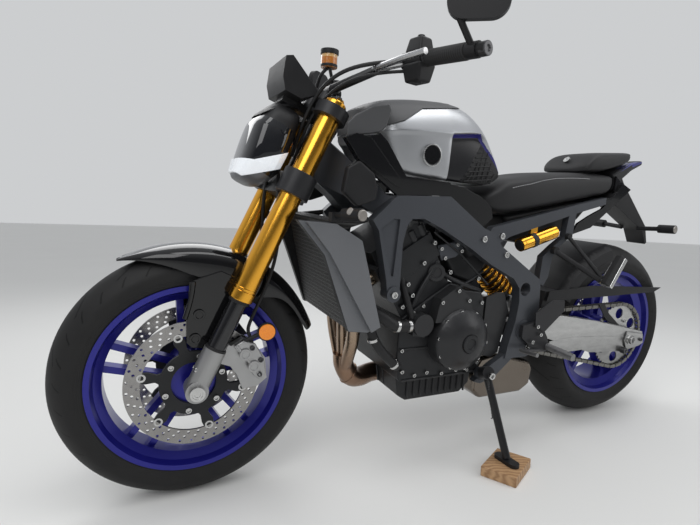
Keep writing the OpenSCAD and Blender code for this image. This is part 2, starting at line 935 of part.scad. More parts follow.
// Front mudguard with its side skirts and stays
module front_mudguard() {
    r = front_tyre_r;
    z = axle_lz;
    color(black) {
        translate([front_x, 0, front_axle_z])
            rotate([90, 0, 0])
                rotate([0, 0, 67])
                    rotate_extrude(angle = 92)
                        polygon([
                            [r + 15, -40], [r - 2, -68], [r - 16, -71], [r - 16, -75.5], [r, -72],
                            [r + 19, -42], [r + 19, 42], [r, 72], [r - 16, 75.5], [r - 16, 71],
                            [r - 2, 68], [r + 15, 40]
                        ]);
        both_sides() {
            translate([front_x, 0, front_axle_z])
                plate([[45, r - 30], [-1, r - 62], [-91, r - 74], [-152, r - 98], [-152, r - 60],
                    [-75, r - 6], [5, r + 6]], 71.5, 75);
            steering()
                plate(
                    [
                        [fork_x + 42, z + 76], [fork_x + 58, z + 82], [fork_x + 84, z + 131],
                        [fork_x + 122, z + 214], [fork_x + 60, z + 270], [fork_x - 30, z + 270],
                        [fork_x - 18, z + 160], [fork_x - 8, z + 90]
                    ],
                    73, fork_y - fork_outer_r - 0.4
                );
        }
    }
}

// Front brake calipers
module front_calipers() {
    color(black)
        both_sides()
            difference() {
                union() {
                    translate([front_x, 98, front_axle_z])
                        rotate([90, 0, 0])
                            linear_extrude(42)
                                polygon([
                                    [-62, 62], [-76, 90], [-104, 106], [-130, 94], [-158, 56], [-164, 4],
                                    [-142, -14], [-106, -16], [-92, 20]
                                ]);
                    translate([front_x, 0, front_axle_z])
                        plate([[-40, 56], [-80, 40], [-96, 80], [-58, 102]], 84, 98);
                }
                cross(front_x, front_axle_z, front_disc_r + 5, 62, 77.5);
                steering()
                    translate([fork_x, fork_y, 0])
                        cylinder(h = 1000, r = fork_inner_r + 5.3);
            }
}

// A place on the upright machine, given in the steering's frame
function steered(p) = [
    (p[0] - front_x - trail) * cos(rake) + p[2] * sin(rake),
    p[1],
    (front_x + trail - p[0]) * sin(rake) + p[2] * cos(rake)
];

grip_in = [-59.5, 262, top_clamp_z + 165];
bar_tip = [-95, bar_end_y, top_clamp_z + 173];
grip_run = unit(bar_tip - grip_in);
grip_len = 104;
grip_out = grip_in + grip_run * grip_len;
grip_right = [grip_run[0], -grip_run[1], grip_run[2]];
perch = [grip_in[0], -grip_in[1], grip_in[2]] - grip_right * 52;
bar_mid = [fork_x + 12, 70, top_clamp_z + 65];
bar_half = [
    [bar_mid[0], 30, bar_mid[2]], bar_mid, bar_mid + [0, 4, 0], [16, 112, top_clamp_z + 96],
    grip_in - grip_run * 110, grip_in - grip_run * 60, grip_in, grip_out
];

// Tapered handlebar
module handlebar() {
    color(black)
        steering()
            pipe(
                concat(
                    [for (k = [len(bar_half) - 1 : -1 : 0]) [bar_half[k][0], -bar_half[k][1], bar_half[k][2]]],
                    bar_half
                ),
                bar_r, [0, 0, 1], 5, 16
            );
}

// Rubber grips
module grips() {
    color(rubber)
        steering()
            both_sides()
                difference() {
                    rod(grip_in, grip_out, bar_r + 6);
                    rod(grip_in - grip_run * 10, grip_out + grip_run * 10, bar_r + 0.6);
                }
}

// Switch boxes and hand levers
module bar_controls() {
    d = grip_run;
    box = grip_in - d * 24;
    up = [sin(rake), 0, cos(rake)];
    color(black)
        steering()
            both_sides() {
                difference() {
                    union() {
                        rod(grip_in - d * 44, grip_in - d * 1, 24);
                        rod(box - up * 46, box + up * 38, 18);
                        rod(grip_in - d * 66, grip_in - d * 43, 18);
                        rod(grip_in - d * 50, steered([353, 168, 1031]), 9);
                        pipe(
                            [
                                steered([353, 168, 1031]), steered([346, 200, 1034]),
                                steered([334, 258, 1038]), steered([318, 318, 1041])
                            ],
                            7, [0, 0, 1], 3, 10
                        );
                    }
                    rod(grip_in - d * 95, grip_in + d * 20, bar_r + 0.8);
                }
            }
}

// Brake fluid pot on the right of the handlebar
module brake_reservoir() {
    color([0.75, 0.5, 0.15])
        steering() {
            translate([16, -150, top_clamp_z + 190])
                rotate([0, rake, 0])
                    cylinder(h = 46, r = 23);
            difference() {
                union() {
                    rod([16, -150, top_clamp_z + 194], perch + [20, 0, 26], 5);
                    rod(perch, perch + [22, 0, 28], 7);
                }
                rod(perch - grip_right * 18.2, perch + grip_right * 60, 18.3);
            }
        }
}

// Bar-end mirrors
module mirrors() {
    d = grip_run;
    color(black)
        steering()
            both_sides() {
                rod(grip_out + d * 0.4, grip_out + d * 26, 16);
                rod(grip_out + d * 20, bar_tip, 13);
                rod(grip_out + d * 13, steered([294, 380, 1094]), 6.5);
                translate(steered([262, 396, 1116]))
                    rotate([0, rake, 0])
                        rotate([0, 0, 50])
                            rotate([0, 90, 0])
                                linear_extrude(16)
                                    union() {
                                        square([64, 50], center = true);
                                        translate([0, 25])
                                            circle(r = 32);
                                        translate([0, -25])
                                            circle(r = 32);
                                    }
            }
}

lamp_z = low_clamp_z;

// Headlight shell with the visor
module headlight() {
    color(dark)
        steering()
            headlight_form(0);
}

// The shell, or the same swollen by a margin
module headlight_form(more) {
    skin([
        level(top_clamp_z - 15 + more, 66 - more, 138 + more, 50 + more, 0.5, 24),
        level(lamp_z + 128, 64 - more, 153 + more, 74 + more, 0.5, 24),
        level(lamp_z + 90, 62 - more, 166 + more, 88 + more, 0.5, 24),
        level(lamp_z + 48, 62 - more, 163 + more, 96 + more, 0.55, 24),
        level(lamp_z + 6, 62 - more, 157 + more, 92 + more, 0.6, 24),
        level(lamp_z - 27, 78 - more, 151 + more, 72 + more, 0.6, 24),
        level(lamp_z - 50 - more, 96 - more, 147 + more, 36 + more, 0.7, 24)
    ]);
}

// Lamp bars wrapped around the lower sides of the shell
module headlamp_lens() {
    z = lamp_z;
    color(silver)
        steering()
            both_sides()
                difference() {
                    intersection() {
                        headlight_form(5);
                        plate([[175, z - 31], [175, z - 8], [135, z + 5], [72, z + 58], [72, z + 16], [138, z - 37]],
                            8, 140);
                    }
                    headlight_form(0.5);
                }
}

// Instrument panel on its stem
module dash() {
    z = top_clamp_z;
    color(black)
        steering() {
            plate(
                [
                    [62, z + 37], [156, z + 76], [170, z + 66], [157, z + 24], [138, z - 2], [96, z + 2],
                    [71, z + 26]
                ],
                -72, 72
            );
            plate([[80, z - 14.4], [128, z - 14.4], [128, z + 10], [100, z + 10]], -30, 30);
            plate([[44.4, z - 8], [44.4, z + 8], [104, z + 12], [104, z - 12]], -20, 20);
        }
}

// Wheel rim: barrel, hub and paired spokes, about an axis along Y
module rim(bead_r, half_w, hub_half, spoke_half, well) {
    bore = axle_r + 0.4;
    rotate([90, 0, 0])
        difference() {
            union() {
                rotate_extrude($fn = 96)
                    polygon([
                        [bead_r + 8, half_w], [bead_r + 8, half_w - 4], [bead_r - 0.5, half_w - 5],
                        [bead_r - 3, half_w - 20], [well, half_w - 30], [well, 30 - half_w],
                        [bead_r - 3, 20 - half_w], [bead_r - 0.5, 5 - half_w],
                        [bead_r + 8, 4 - half_w], [bead_r + 8, -half_w], [bead_r - 4, -half_w],
                        [bead_r - 10, 16 - half_w], [well - 7, 26 - half_w], [well - 7, half_w - 26],
                        [bead_r - 10, half_w - 16], [bead_r - 4, half_w]
                    ]);
                cylinder(h = 2 * hub_half, r = 52, center = true);
                for (i = [0 : spoke_pairs - 1])
                    rotate([0, 0, 360 / spoke_pairs * i + 18])
                        for (s = [-1, 1])
                            translate([0, 0, -spoke_half])
                                linear_extrude(2 * spoke_half)
                                    polygon([[34, s * 11], [34, s * 27], [well - 5, s * 36],
                                        [well - 5, s * 20]]);
            }
            cylinder(h = 400, r = bore, center = true);
        }
}

// Tyre carcass about an axis along Y
module tyre(r, bead_r, w, crown, half_w) {
    a = asin((w / 2) / crown);
    b = asin((w / 2 - 10) / (crown - 11));
    rotate([90, 0, 0])
        rotate_extrude($fn = 96)
            polygon(concat(
                [for (k = [0 : 12]) let (t = -a + 2 * a * k / 12)
                    [r - crown + crown * cos(t), crown * sin(t)]],
                [
                    [bead_r + 12, half_w - 1], [bead_r + 9, half_w - 4.6], [bead_r, half_w - 5.4],
                    [bead_r, half_w - 15], [bead_r + 12, half_w - 15]
                ],
                [for (k = [0 : 12]) let (t = b - 2 * b * k / 12)
                    [r - crown + (crown - 11) * cos(t), (crown - 11) * sin(t)]],
                [
                    [bead_r + 12, 15 - half_w], [bead_r, 15 - half_w], [bead_r, 5.4 - half_w],
                    [bead_r + 9, 4.6 - half_w], [bead_r + 12, 1 - half_w]
                ]
            ));
}

// Front wheel rim
module front_rim() {
    color(blue)
        translate([front_x, 0, front_axle_z])
            rim(front_bead_r, 54, 62, 14, front_bead_r - 20);
}

// Front tyre
module front_tyre() {
    color(rubber)
        translate([front_x, 0, front_axle_z])
            tyre(front_tyre_r, front_bead_r, front_tyre_w, front_crown_r, 54);
}

// Brake discs on the front hub
module front_discs() {
    color(silver * 0.8)
        both_sides()
            translate([front_x, 72, front_axle_z])
                rotate([90, 0, 0]) {
                    linear_extrude(5)
                        difference() {
                            circle(r = front_disc_r, $fn = 96);
                            circle(r = front_disc_r - 34, $fn = 96);
                        }
                    linear_extrude(9.6)
                        difference() {
                            union() {
                                circle(r = 56);
                                for (i = [0 : 5])
                                    rotate(60 * i)
                                        translate([40, -9])
                                            square([front_disc_r - 70, 18]);
                            }
                            circle(r = 30);
                        }
                }
}

// Rear wheel rim
module rear_rim() {
    color(blue)
        translate([rear_x, 0, rear_axle_z])
            rim(rear_bead_r, 78, 84, 17, rear_bead_r - 26);
}

// Rear tyre
module rear_tyre() {
    color(rubber)
        translate([rear_x, 0, rear_axle_z])
            tyre(rear_tyre_r, rear_bead_r, rear_tyre_w, rear_crown_r, 78);
}

// Rear sprocket with its carrier
module rear_sprocket() {
    color(silver * 0.6)
        translate([rear_x, 0, rear_axle_z]) {
            translate([0, chain_y + 2.5, 0])
                rotate([90, 0, 0])
                    linear_extrude(5)
                        difference() {
                            circle(r = rear_sprocket_r - 6.5, $fn = 90);
                            circle(r = 30);
                        }
            translate([0, chain_y, 0])
                rotate([90, 0, 0])
                    linear_extrude(chain_y - 84.4)
                        difference() {
                            circle(r = 74);
                            circle(r = 30);
                        }
        }
}

// Rear brake disc
module rear_disc() {
    color(silver * 0.8)
        translate([rear_x, -84.4, rear_axle_z])
            rotate([90, 0, 0])
                linear_extrude(6)
                    difference() {
                        circle(r = rear_disc_r, $fn = 96);
                        circle(r = 30);
                    }
}

// Side stand leg with its foot on the block
module side_stand() {
    foot = stand_foot;
    color(black) {
        rod(stand_pivot, foot + [0, -2, 12], 11);
        rod(stand_pivot - stand_axis * 15, stand_pivot + stand_axis * 12, 19);
        rotate([lean, 0, 0])
            translate([foot_world[0], foot_world[1], foot_world[2]])
                linear_extrude(10)
                    union() {
                        square([30, 52], center = true);
                        translate([0, 26])
                            circle(r = 15);
                        translate([0, -26])
                            circle(r = 15);
                    }
    }
}

parked() {
    main_frame();
    subframe();
    crankcase();
    cylinders();
    engine_covers();
    exhaust_pipes();
    silencer();
    radiator();
    radiator_shrouds();
    fuel_tank();
    tank_side_panels();
    tank_nose();
    rider_seat();
    passenger_seat();
    tail_cowl();
    tail_lamp();
    plate_carrier();
    swingarm();
    rear_axle();
    rear_hugger();
    drive_chain();
    rear_caliper();
    rear_shock();
    rider_pegs();
    passenger_pegs();
    front_indicators();
    side_ducts();
    stand_block();
    upper_clamp();
    lower_clamp();
    fork_tubes();
    fork_sliders();
    fork_feet();
    front_axle();
    front_mudguard();
    front_calipers();
    handlebar();
    grips();
    bar_controls();
    brake_reservoir();
    mirrors();
    headlight();
    headlamp_lens();
    dash();
    front_rim();
    front_tyre();
    front_discs();
    rear_rim();
    rear_tyre();
    rear_sprocket();
    rear_disc();
    side_stand();
}
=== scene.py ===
# A naked sport motorcycle, parked on its side stand with the stand's foot on a wooden block.
# The pieces follow in the order in which the machine is put together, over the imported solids.
import json
import math

import bpy
from mathutils import Matrix, Vector


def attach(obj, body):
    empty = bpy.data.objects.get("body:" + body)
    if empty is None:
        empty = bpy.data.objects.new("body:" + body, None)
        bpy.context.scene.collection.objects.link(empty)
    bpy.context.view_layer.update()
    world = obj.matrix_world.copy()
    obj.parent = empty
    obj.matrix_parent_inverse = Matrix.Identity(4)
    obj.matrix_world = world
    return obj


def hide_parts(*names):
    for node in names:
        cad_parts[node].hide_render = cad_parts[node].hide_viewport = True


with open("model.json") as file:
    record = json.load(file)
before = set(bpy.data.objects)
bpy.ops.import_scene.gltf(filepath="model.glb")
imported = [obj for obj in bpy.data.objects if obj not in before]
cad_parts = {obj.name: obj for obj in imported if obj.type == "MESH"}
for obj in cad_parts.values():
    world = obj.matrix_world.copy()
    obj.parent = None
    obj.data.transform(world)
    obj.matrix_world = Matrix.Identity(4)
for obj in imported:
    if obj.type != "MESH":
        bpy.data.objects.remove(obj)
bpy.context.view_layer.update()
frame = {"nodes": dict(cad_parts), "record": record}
nodes = frame["nodes"]
record = frame["record"]
body_of = {n: b for b, group in record["behaviour"]["bodies"].items() for n in group}
slot_of = {part["node"]: part["material_slot"] for part in record["subparts"]}

# Studio. A pale floor and a pale room around it, four soft lamps, and the camera low down
# at the left of the front wheel, where the photograph was taken.
pitch, yaw, roll = (math.radians(v) for v in (5.05, -115.39, 1.90))
ahead = Vector((math.cos(pitch) * math.cos(yaw), math.cos(pitch) * math.sin(yaw), -math.sin(pitch)))
right = ahead.cross(Vector((0, 0, 1))).normalized()
up = right.cross(ahead)
right, up = (
    right * math.cos(roll) + up * math.sin(roll),
    up * math.cos(roll) - right * math.sin(roll),
)
eye = (0.8480, 1.0984, 0.6772)
bpy.ops.object.camera_add(location=eye)
camera = bpy.context.object
camera.matrix_world = (
    Matrix.Translation(eye) @ Matrix((right, up, -ahead)).transposed().to_4x4()
)
camera.data.sensor_width = 36
camera.data.lens = 23.62
bpy.context.scene.camera = camera
bpy.context.scene.view_settings.view_transform = "Standard"

for name, place, size, power in (
    ("key_lamp", (1.9, 1.7, 2.5), (1.8, 1.8), 30),
    ("roof_lamp", (-0.1, 0.5, 2.6), (2.8, 0.7), 20),
    ("tail_lamp_soft", (-2.2, 1.7, 1.7), (1.6, 1.6), 18),
    ("far_lamp", (0.5, -2.2, 2.4), (2.2, 1.6), 24),
):
    aim = Vector((0, 0, 0.5)) - Vector(place)
    bpy.ops.object.light_add(type="AREA", location=place, rotation=aim.to_track_quat("-Z", "Y").to_euler())
    lamp = bpy.context.object
    lamp.name = name
    lamp.data.shape = "RECTANGLE"
    lamp.data.size, lamp.data.size_y = size
    lamp.data.energy = power


class Wire:
    """A socket in a finish's nodes, which takes part in Python sums."""

    def __init__(self, finish, socket):
        self.finish = finish
        self.socket = socket

    def sum(self, kind, a, b):
        return self.finish.node("ShaderNodeMath", {"operation": kind}, {0: a, 1: b})

    def __add__(self, other):
        return self.sum("ADD", self, other)

    __radd__ = __add__

    def __sub__(self, other):
        return self.sum("SUBTRACT", self, other)

    def __rsub__(self, other):
        return self.sum("SUBTRACT", other, self)

    def __mul__(self, other):
        return self.sum("MULTIPLY", self, other)

    __rmul__ = __mul__

    def __truediv__(self, other):
        return self.sum("DIVIDE", self, other)

    def __mod__(self, other):
        return self.sum("FLOORED_MODULO", self, other)

    def __pow__(self, other):
        return self.sum("POWER", self, other)

    def __gt__(self, other):
        return self.sum("GREATER_THAN", self, other)

    def __lt__(self, other):
        return self.sum("LESS_THAN", self, other)

    def __abs__(self):
        return self.sum("ABSOLUTE", self, 0)


LEAN = Matrix.Translation((0.0075, -0.077845, 0.000232)) @ Matrix.Rotation(math.radians(-4), 4, "X")
UPRIGHT = LEAN.inverted()


class Nodes:
    """A node tree, built by one method that makes a node."""

    def __init__(self, tree):
        self.tree = tree

    def node(self, kind, settings, inputs, out=0):
        made = self.tree.nodes.new(kind)
        for key, value in settings.items():
            setattr(made, key, value)
        for key, value in inputs.items():
            if isinstance(value, Wire):
                self.tree.links.new(value.socket, made.inputs[key])
            else:
                made.inputs[key].default_value = value
        return Wire(self, made.outputs[out])

    def mix(self, share, a, b):
        return self.node("ShaderNodeMix", {"data_type": "RGBA"}, {0: share, 6: a, 7: b}, out=2)


class Finish(Nodes):
    """A surface: a Principled shader with constants on its sockets and nodes that vary it."""

    def __init__(self, name, colour, rough, metal=0.0, **sockets):
        self.material = bpy.data.materials.new(name)
        self.material.use_nodes = True
        self.tree = self.material.node_tree
        self.shader = self.tree.nodes["Principled BSDF"]
        self.shader.inputs["Base Color"].default_value = (*colour, 1)
        self.shader.inputs["Roughness"].default_value = rough
        self.shader.inputs["Metallic"].default_value = metal
        for key, value in sockets.items():
            self.shader.inputs[key.replace("_", " ")].default_value = value
        self.colour = (*colour, 1)
        self.rough = rough

    def feed(self, socket, wire):
        self.tree.links.new(wire.socket, self.shader.inputs[socket])
        return self

    def where(self, stretch=(1, 1, 1), turn=(0, 0, 0), shift=(0, 0, 0)):
        spot = self.node("ShaderNodeTexCoord", {}, {}, out=3)
        return self.node(
            "ShaderNodeMapping", {}, {"Vector": spot, "Scale": stretch, "Rotation": turn, "Location": shift}
        )

    def upright(self, centre=(0, 0, 0)):
        shift = UPRIGHT.translation - Vector(centre)
        spot = self.where(turn=(math.radians(4), 0, 0), shift=shift)
        return [self.node("ShaderNodeSeparateXYZ", {}, {0: spot}, out=i) for i in range(3)]

    def noise(self, scale, detail=3.0, stretch=(1, 1, 1), turn=(0, 0, 0)):
        spot = self.where(stretch, turn)
        return self.node("ShaderNodeTexNoise", {}, {"Vector": spot, "Scale": scale, "Detail": detail})

    def bump(self, height, strength=0.3, depth=0.001):
        made = self.node("ShaderNodeBump", {}, {"Height": height, "Strength": strength, "Distance": depth})
        return self.feed("Normal", made)

    def worn(self, colour, scale=9.0, share=0.5, rough=0.12):
        """Slow changes of tone and gloss, as handling and dust leave on every surface."""
        cloud = self.noise(scale, 5.0)
        self.feed("Base Color", self.mix(cloud * share, self.colour, (*colour, 1)))
        return self.feed("Roughness", (cloud - 0.5) * rough + self.rough)


floor_paint = Finish("pale_floor", (0.70, 0.70, 0.69), 0.6, Specular_IOR_Level=0.3)
floor_paint.worn((0.66, 0.66, 0.65), 1.2, 0.6)
bpy.ops.mesh.primitive_plane_add(size=60, location=(0, 0, 0))
floor = bpy.context.object
floor.name = "floor"
floor.data.materials.append(floor_paint.material)

room = bpy.data.worlds.new("pale_room")
bpy.context.scene.world = room
room.use_nodes = True
air = Nodes(room.node_tree)
heading = air.node("ShaderNodeTexCoord", {}, {})
across = air.node("ShaderNodeSeparateXYZ", {}, {0: heading}, out=1)
high = air.node("ShaderNodeSeparateXYZ", {}, {0: heading}, out=2)
near = air.node("ShaderNodeMapRange", {}, {0: across, 1: -0.3, 2: 0.5, 3: 0.0, 4: 1.0})
roof = air.node("ShaderNodeMapRange", {}, {0: high, 1: 0.3, 2: 0.9, 3: 0.0, 4: 1.0})
mirrored = air.node("ShaderNodeLightPath", {}, {}, out=3)
walls = air.mix(near, (0.80, 0.82, 0.85, 1), (0.14, 0.145, 0.16, 1))
shine = air.mix(roof, walls, (0.80, 0.82, 0.85, 1))
backdrop = air.tree.nodes["Background"]
air.tree.links.new(air.mix(mirrored, (0.84, 0.855, 0.87, 1), shine).socket, backdrop.inputs["Color"])
backdrop.inputs["Strength"].default_value = 0.72


# Frame and subframe. A gunmetal twin-spar casting with a fine sand skin and rounded edges,
# and behind it the rails that carry the seats, in the same grey.
def pick(piece):
    bpy.ops.object.select_all(action="DESELECT")
    piece.select_set(True)
    bpy.context.view_layer.objects.active = piece


def edit(piece, operation, **settings):
    """One edit-mode operator on the whole mesh."""
    pick(piece)
    bpy.ops.object.mode_set(mode="EDIT")
    bpy.ops.mesh.select_all(action="SELECT")
    operation(**settings)
    bpy.ops.object.mode_set(mode="OBJECT")


def apply(piece, kind, **settings):
    """A modifier, set and applied."""
    pick(piece)
    made = piece.modifiers.new(kind.lower(), kind)
    for key, value in settings.items():
        setattr(made, key, value)
    bpy.ops.object.modifier_apply(modifier=made.name)


def soften(piece, edge, steps=2, corner=35, smooth=40):
    """Broken edges and even shading over flats and rounds."""
    if edge:
        apply(
            piece, "BEVEL", width=edge, segments=steps, limit_method="ANGLE",
            angle_limit=math.radians(corner), use_clamp_overlap=True,
        )
    pick(piece)
    bpy.ops.object.shade_smooth_by_angle(angle=math.radians(smooth))
    apply(piece, "WEIGHTED_NORMAL", keep_sharp=True, weight=60)


def paint(piece, finishes, choose=None):
    """Finishes on a mesh, by each face's place on the upright machine where there are several."""
    piece.data.materials.clear()
    for finish in finishes if isinstance(finishes, tuple) else (finishes,):
        piece.data.materials.append(finish.material)
    for face in piece.data.polygons:
        spot = UPRIGHT @ face.center * 1000
        face.material_index = int(choose(spot, face.normal)) if choose else 0


def fit(piece, name, body, slot, *stands_for):
    """The finished piece on its body, in the solid's place where it stands for one."""
    piece.name = name
    piece.data.name = name
    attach(piece, body)
    if stands_for:
        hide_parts(*stands_for)
    return piece


def twin(piece):
    """A copy with a mesh of its own, in the scene."""
    made = piece.copy()
    made.data = piece.data.copy()
    bpy.context.scene.collection.objects.link(made)
    return made


def dress(node, finishes, edge=0.002, steps=2, choose=None, smooth=40):
    """A solid's skin with the edges of a casting or moulding."""
    piece = twin(nodes[node])
    for key in list(piece.keys()):
        del piece[key]
    piece.parent = None
    piece.matrix_world = Matrix.Identity(4)
    pick(piece)
    bpy.ops.mesh.customdata_custom_splitnormals_clear()
    edit(piece, bpy.ops.mesh.remove_doubles, threshold=0.00003)
    edit(piece, bpy.ops.mesh.dissolve_limited, angle_limit=math.radians(1.2))
    soften(piece, edge, steps, smooth=smooth)
    paint(piece, finishes, choose)
    return fit(piece, node + "_skin", body_of[node], slot_of[node], node)


def sand_cast(finish, scale=520, depth=0.0004, strength=0.22):
    return finish.bump(finish.noise(scale, 4.0), strength, depth)


gunmetal = sand_cast(Finish("gunmetal_casting", (0.055, 0.059, 0.068), 0.42, 0.55))
gunmetal.worn((0.076, 0.081, 0.092), 6.0, 0.6)
black_rail = sand_cast(Finish("black_rail_paint", (0.014, 0.0145, 0.016), 0.46, 0.1,
    Specular_IOR_Level=0.3), 700)
black_rail.worn((0.028, 0.029, 0.03), 14.0, 0.5)
dress("main_frame", gunmetal, 0.009, 3)
dress("subframe", gunmetal, 0.005, 3)

# Bolts. Bright and black socket heads, turned from bar with a round hollow for the key; each is
# modelled once and copied to its place, and a group of them moves with its body.
bright_steel = Finish("bright_bolt_steel", (0.62, 0.62, 0.61), 0.24, 1.0)
bright_steel.worn((0.42, 0.42, 0.42), 60.0, 0.6)
black_steel = Finish("blackened_bolt_steel", (0.06, 0.06, 0.065), 0.34, 0.8)
black_steel.worn((0.12, 0.12, 0.12), 60.0, 0.6)


def choose_faces(piece, test):
    """Edit mode with the faces that pass the test selected."""
    pick(piece)
    bpy.ops.object.mode_set(mode="EDIT")
    bpy.ops.mesh.select_mode(type="FACE")
    bpy.ops.mesh.select_all(action="DESELECT")
    bpy.ops.object.mode_set(mode="OBJECT")
    for face in piece.data.polygons:
        face.select = test(face)
    bpy.ops.object.mode_set(mode="EDIT")


bpy.ops.mesh.primitive_cylinder_add(vertices=18, radius=1, depth=1, location=(0, 0, 0.5))
bolt = bpy.context.object
pick(bolt)
bpy.ops.object.transform_apply(location=True, rotation=True, scale=True)
choose_faces(bolt, lambda face: face.normal.z > 0.9)
bpy.ops.mesh.inset(thickness=0.42)
bpy.ops.mesh.inset(thickness=0.05, depth=-0.6)
bpy.ops.object.mode_set(mode="OBJECT")
soften(bolt, 0.14, 2)


def facing(axis):
    return Vector(axis).to_track_quat("Z", "Y").to_matrix().to_4x4()


def join(pieces):
    bpy.ops.object.select_all(action="DESELECT")
    for piece in pieces:
        piece.select_set(True)
    bpy.context.view_layer.objects.active = pieces[0]
    bpy.ops.object.join()
    return bpy.context.object


def add(parts, finishes, name, body, slot, *stands_for, choose=None):
    """One finished piece, from a mesh or from several that are joined."""
    piece = join(parts) if isinstance(parts, list) else parts
    paint(piece, finishes, choose)
    return fit(piece, name, body, slot, *stands_for)


def bolts(name, places, radius, height, finish, body, slot):
    """Bolt heads at places (x, y, z, axis) in millimetres on the upright machine."""
    made = []
    for x, y, z, axis in places:
        head = twin(bolt)
        size = Matrix.Diagonal((radius / 1000, radius / 1000, height / 1000, 1))
        head.data.transform(LEAN @ Matrix.Translation((x / 1000, y / 1000, z / 1000)) @ facing(axis) @ size)
        made.append(head)
    return add(made, finish, name, body, slot)


def pairs(places):
    """Both sides of the machine."""
    return [(x, s * y, z, (a[0], s * a[1], a[2])) for x, y, z, a in places for s in (1, -1)]


side = (0, 1, 0)
frame_out = (-0.035, 1, 0)
bolts(
    "frame_bolts", pairs([(258, 171.5, 514, frame_out), (-20, 158, 655, frame_out),
    (-84, 156, 664, frame_out),
        (-214, 155, 384, side), (-236, 151, 330, frame_out), (-108, 155, 612, frame_out)]),
    9, 7, bright_steel, "chassis", "bright_steel",
)


# Engine. Black painted crankcase, leaning block with head and cover, and the round generator and
# clutch covers, all die castings with machined joints and rows of flange bolts.
def drum(place, axis, radius, depth, edge=0.0, sides=40, hollow=0.0, sink=0.0):
    """A turned piece about an axis; millimetres on the upright machine, its middle at place."""
    spot = Vector(place) / 1000
    bpy.ops.mesh.primitive_cylinder_add(
        vertices=sides, radius=radius / 1000, depth=depth / 1000, location=spot,
        rotation=facing(axis).to_euler(),
    )
    piece = bpy.context.object
    pick(piece)
    bpy.ops.object.transform_apply(location=True, rotation=True, scale=True)
    if hollow:
        way = Vector(axis).normalized()
        choose_faces(piece, lambda face: face.normal.dot(way) > 0.9 and len(face.vertices) > 4)
        bpy.ops.mesh.inset(thickness=(radius - hollow) / 1000)
        bpy.ops.mesh.inset(thickness=0.0002, depth=-sink / 1000)
        bpy.ops.object.mode_set(mode="OBJECT")
    piece.data.transform(LEAN)
    soften(piece, edge / 1000, 2)
    return piece


def tube(points, radius, sides=3, smooth=True):
    """A round bar or hose along points in millimetres on the upright machine."""
    line = bpy.data.curves.new("line", "CURVE")
    line.dimensions = "3D"
    line.bevel_depth = radius / 1000
    line.bevel_resolution = sides
    line.use_fill_caps = True
    line.resolution_u = 6
    run = line.splines.new("NURBS" if smooth else "POLY")
    run.points.add(len(points) - 1)
    for spot, point in zip(run.points, points):
        spot.co = (*(LEAN @ (Vector(point) / 1000)), 1)
    if smooth:
        run.order_u = 4
        run.use_endpoint_u = True
    piece = bpy.data.objects.new("line", line)
    bpy.context.scene.collection.objects.link(piece)
    pick(piece)
    bpy.ops.object.convert(target="MESH")
    piece = bpy.context.object
    bpy.ops.object.shade_smooth_by_angle(angle=math.radians(50))
    return piece


def slab(outline, y0, y1):
    """A block drawn in side view, in millimetres."""
    mesh = bpy.data.meshes.new("slab")
    mesh.from_pydata([(x / 1000, y0 / 1000, z / 1000) for x, z in outline], [], [tuple(range(len(outline)))])
    piece = bpy.data.objects.new("slab", mesh)
    bpy.context.scene.collection.objects.link(piece)
    pick(piece)
    bpy.ops.object.mode_set(mode="EDIT")
    bpy.ops.mesh.select_all(action="SELECT")
    bpy.ops.mesh.extrude_region_move(TRANSFORM_OT_translate={"value": (0, (y1 - y0) / 1000, 0)})
    bpy.ops.mesh.select_all(action="SELECT")
    bpy.ops.mesh.normals_make_consistent(inside=False)
    bpy.ops.object.mode_set(mode="OBJECT")
    return piece


def cut(piece, tool, operation="DIFFERENCE"):
    """A boolean with a tool that is used up."""
    apply(piece, "BOOLEAN", object=tool, operation=operation, solver="EXACT")
    bpy.data.objects.remove(tool)


def plank(outline, y0, y1, edge, steps=2):
    """A slab on the leaning machine with its edges broken by a width in metres."""
    piece = slab(outline, y0, y1)
    piece.data.transform(LEAN)
    soften(piece, edge, steps)
    return piece


def around(count, start=0):
    """Even angles around a circle, from a start in degrees."""
    return [math.radians(360 * k / count + start) for k in range(count)]


def polar(centre, radius, angle):
    """A point on a circle in side view."""
    return centre[0] + radius * math.cos(angle), centre[1] + radius * math.sin(angle)


engine_black = sand_cast(Finish("engine_black", (0.013, 0.0135, 0.015), 0.42, 0.25,
    Specular_IOR_Level=0.35), 620, 0.0005, 0.3)
engine_black.worn((0.032, 0.033, 0.035), 18.0, 0.55, 0.2)
cover_black = sand_cast(Finish("cover_black", (0.024, 0.0245, 0.026), 0.36, 0.35, Specular_IOR_Level=0.35),
    700)
cover_black.worn((0.042, 0.042, 0.044), 20.0, 0.5, 0.16)
dress("crankcase", engine_black, 0.005, 3)
dress("cylinders", engine_black, 0.006, 3)
dress("engine_covers", cover_black, 0.004, 3)
ring = [(x, 167, z, side) for x, z in (polar((26, 377), 81, a) for a in around(10, 8))]
rows = [(x, 129.5, z, side) for x, z in ((190, 290), (196, 350), (190, 408), (-64, 290), (-60, 340),
    (-60, 470),
    (110, 280), (150, 276), (60, 272), (10, 276), (-30, 272), (170, 452), (140, 470))]
rows += [(x, 164.5, z, side) for x, z in ((104, 486), (54, 516), (16, 488))]
bolts("engine_bolts", ring + rows, 5.4, 7, bright_steel, "chassis", "bright_steel")
add(drum((26, 202.5, 377), side, 25, 9, 2.5, hollow=15, sink=4), engine_black, "generator_cap", "chassis",
    "engine_dark")
ribs = [tube([(x, 101, 258), (x, 102, 206), (x - 6, 96, 192)], 3.2, 2, False) for x in range(-50, 170, 22)]
ribs += [tube([(188 - 3 * k, y, 258), (178 - 3 * k, y, 208)], 3.2, 2, False)
    for k, y in enumerate((-10, 20, 50, 80))]
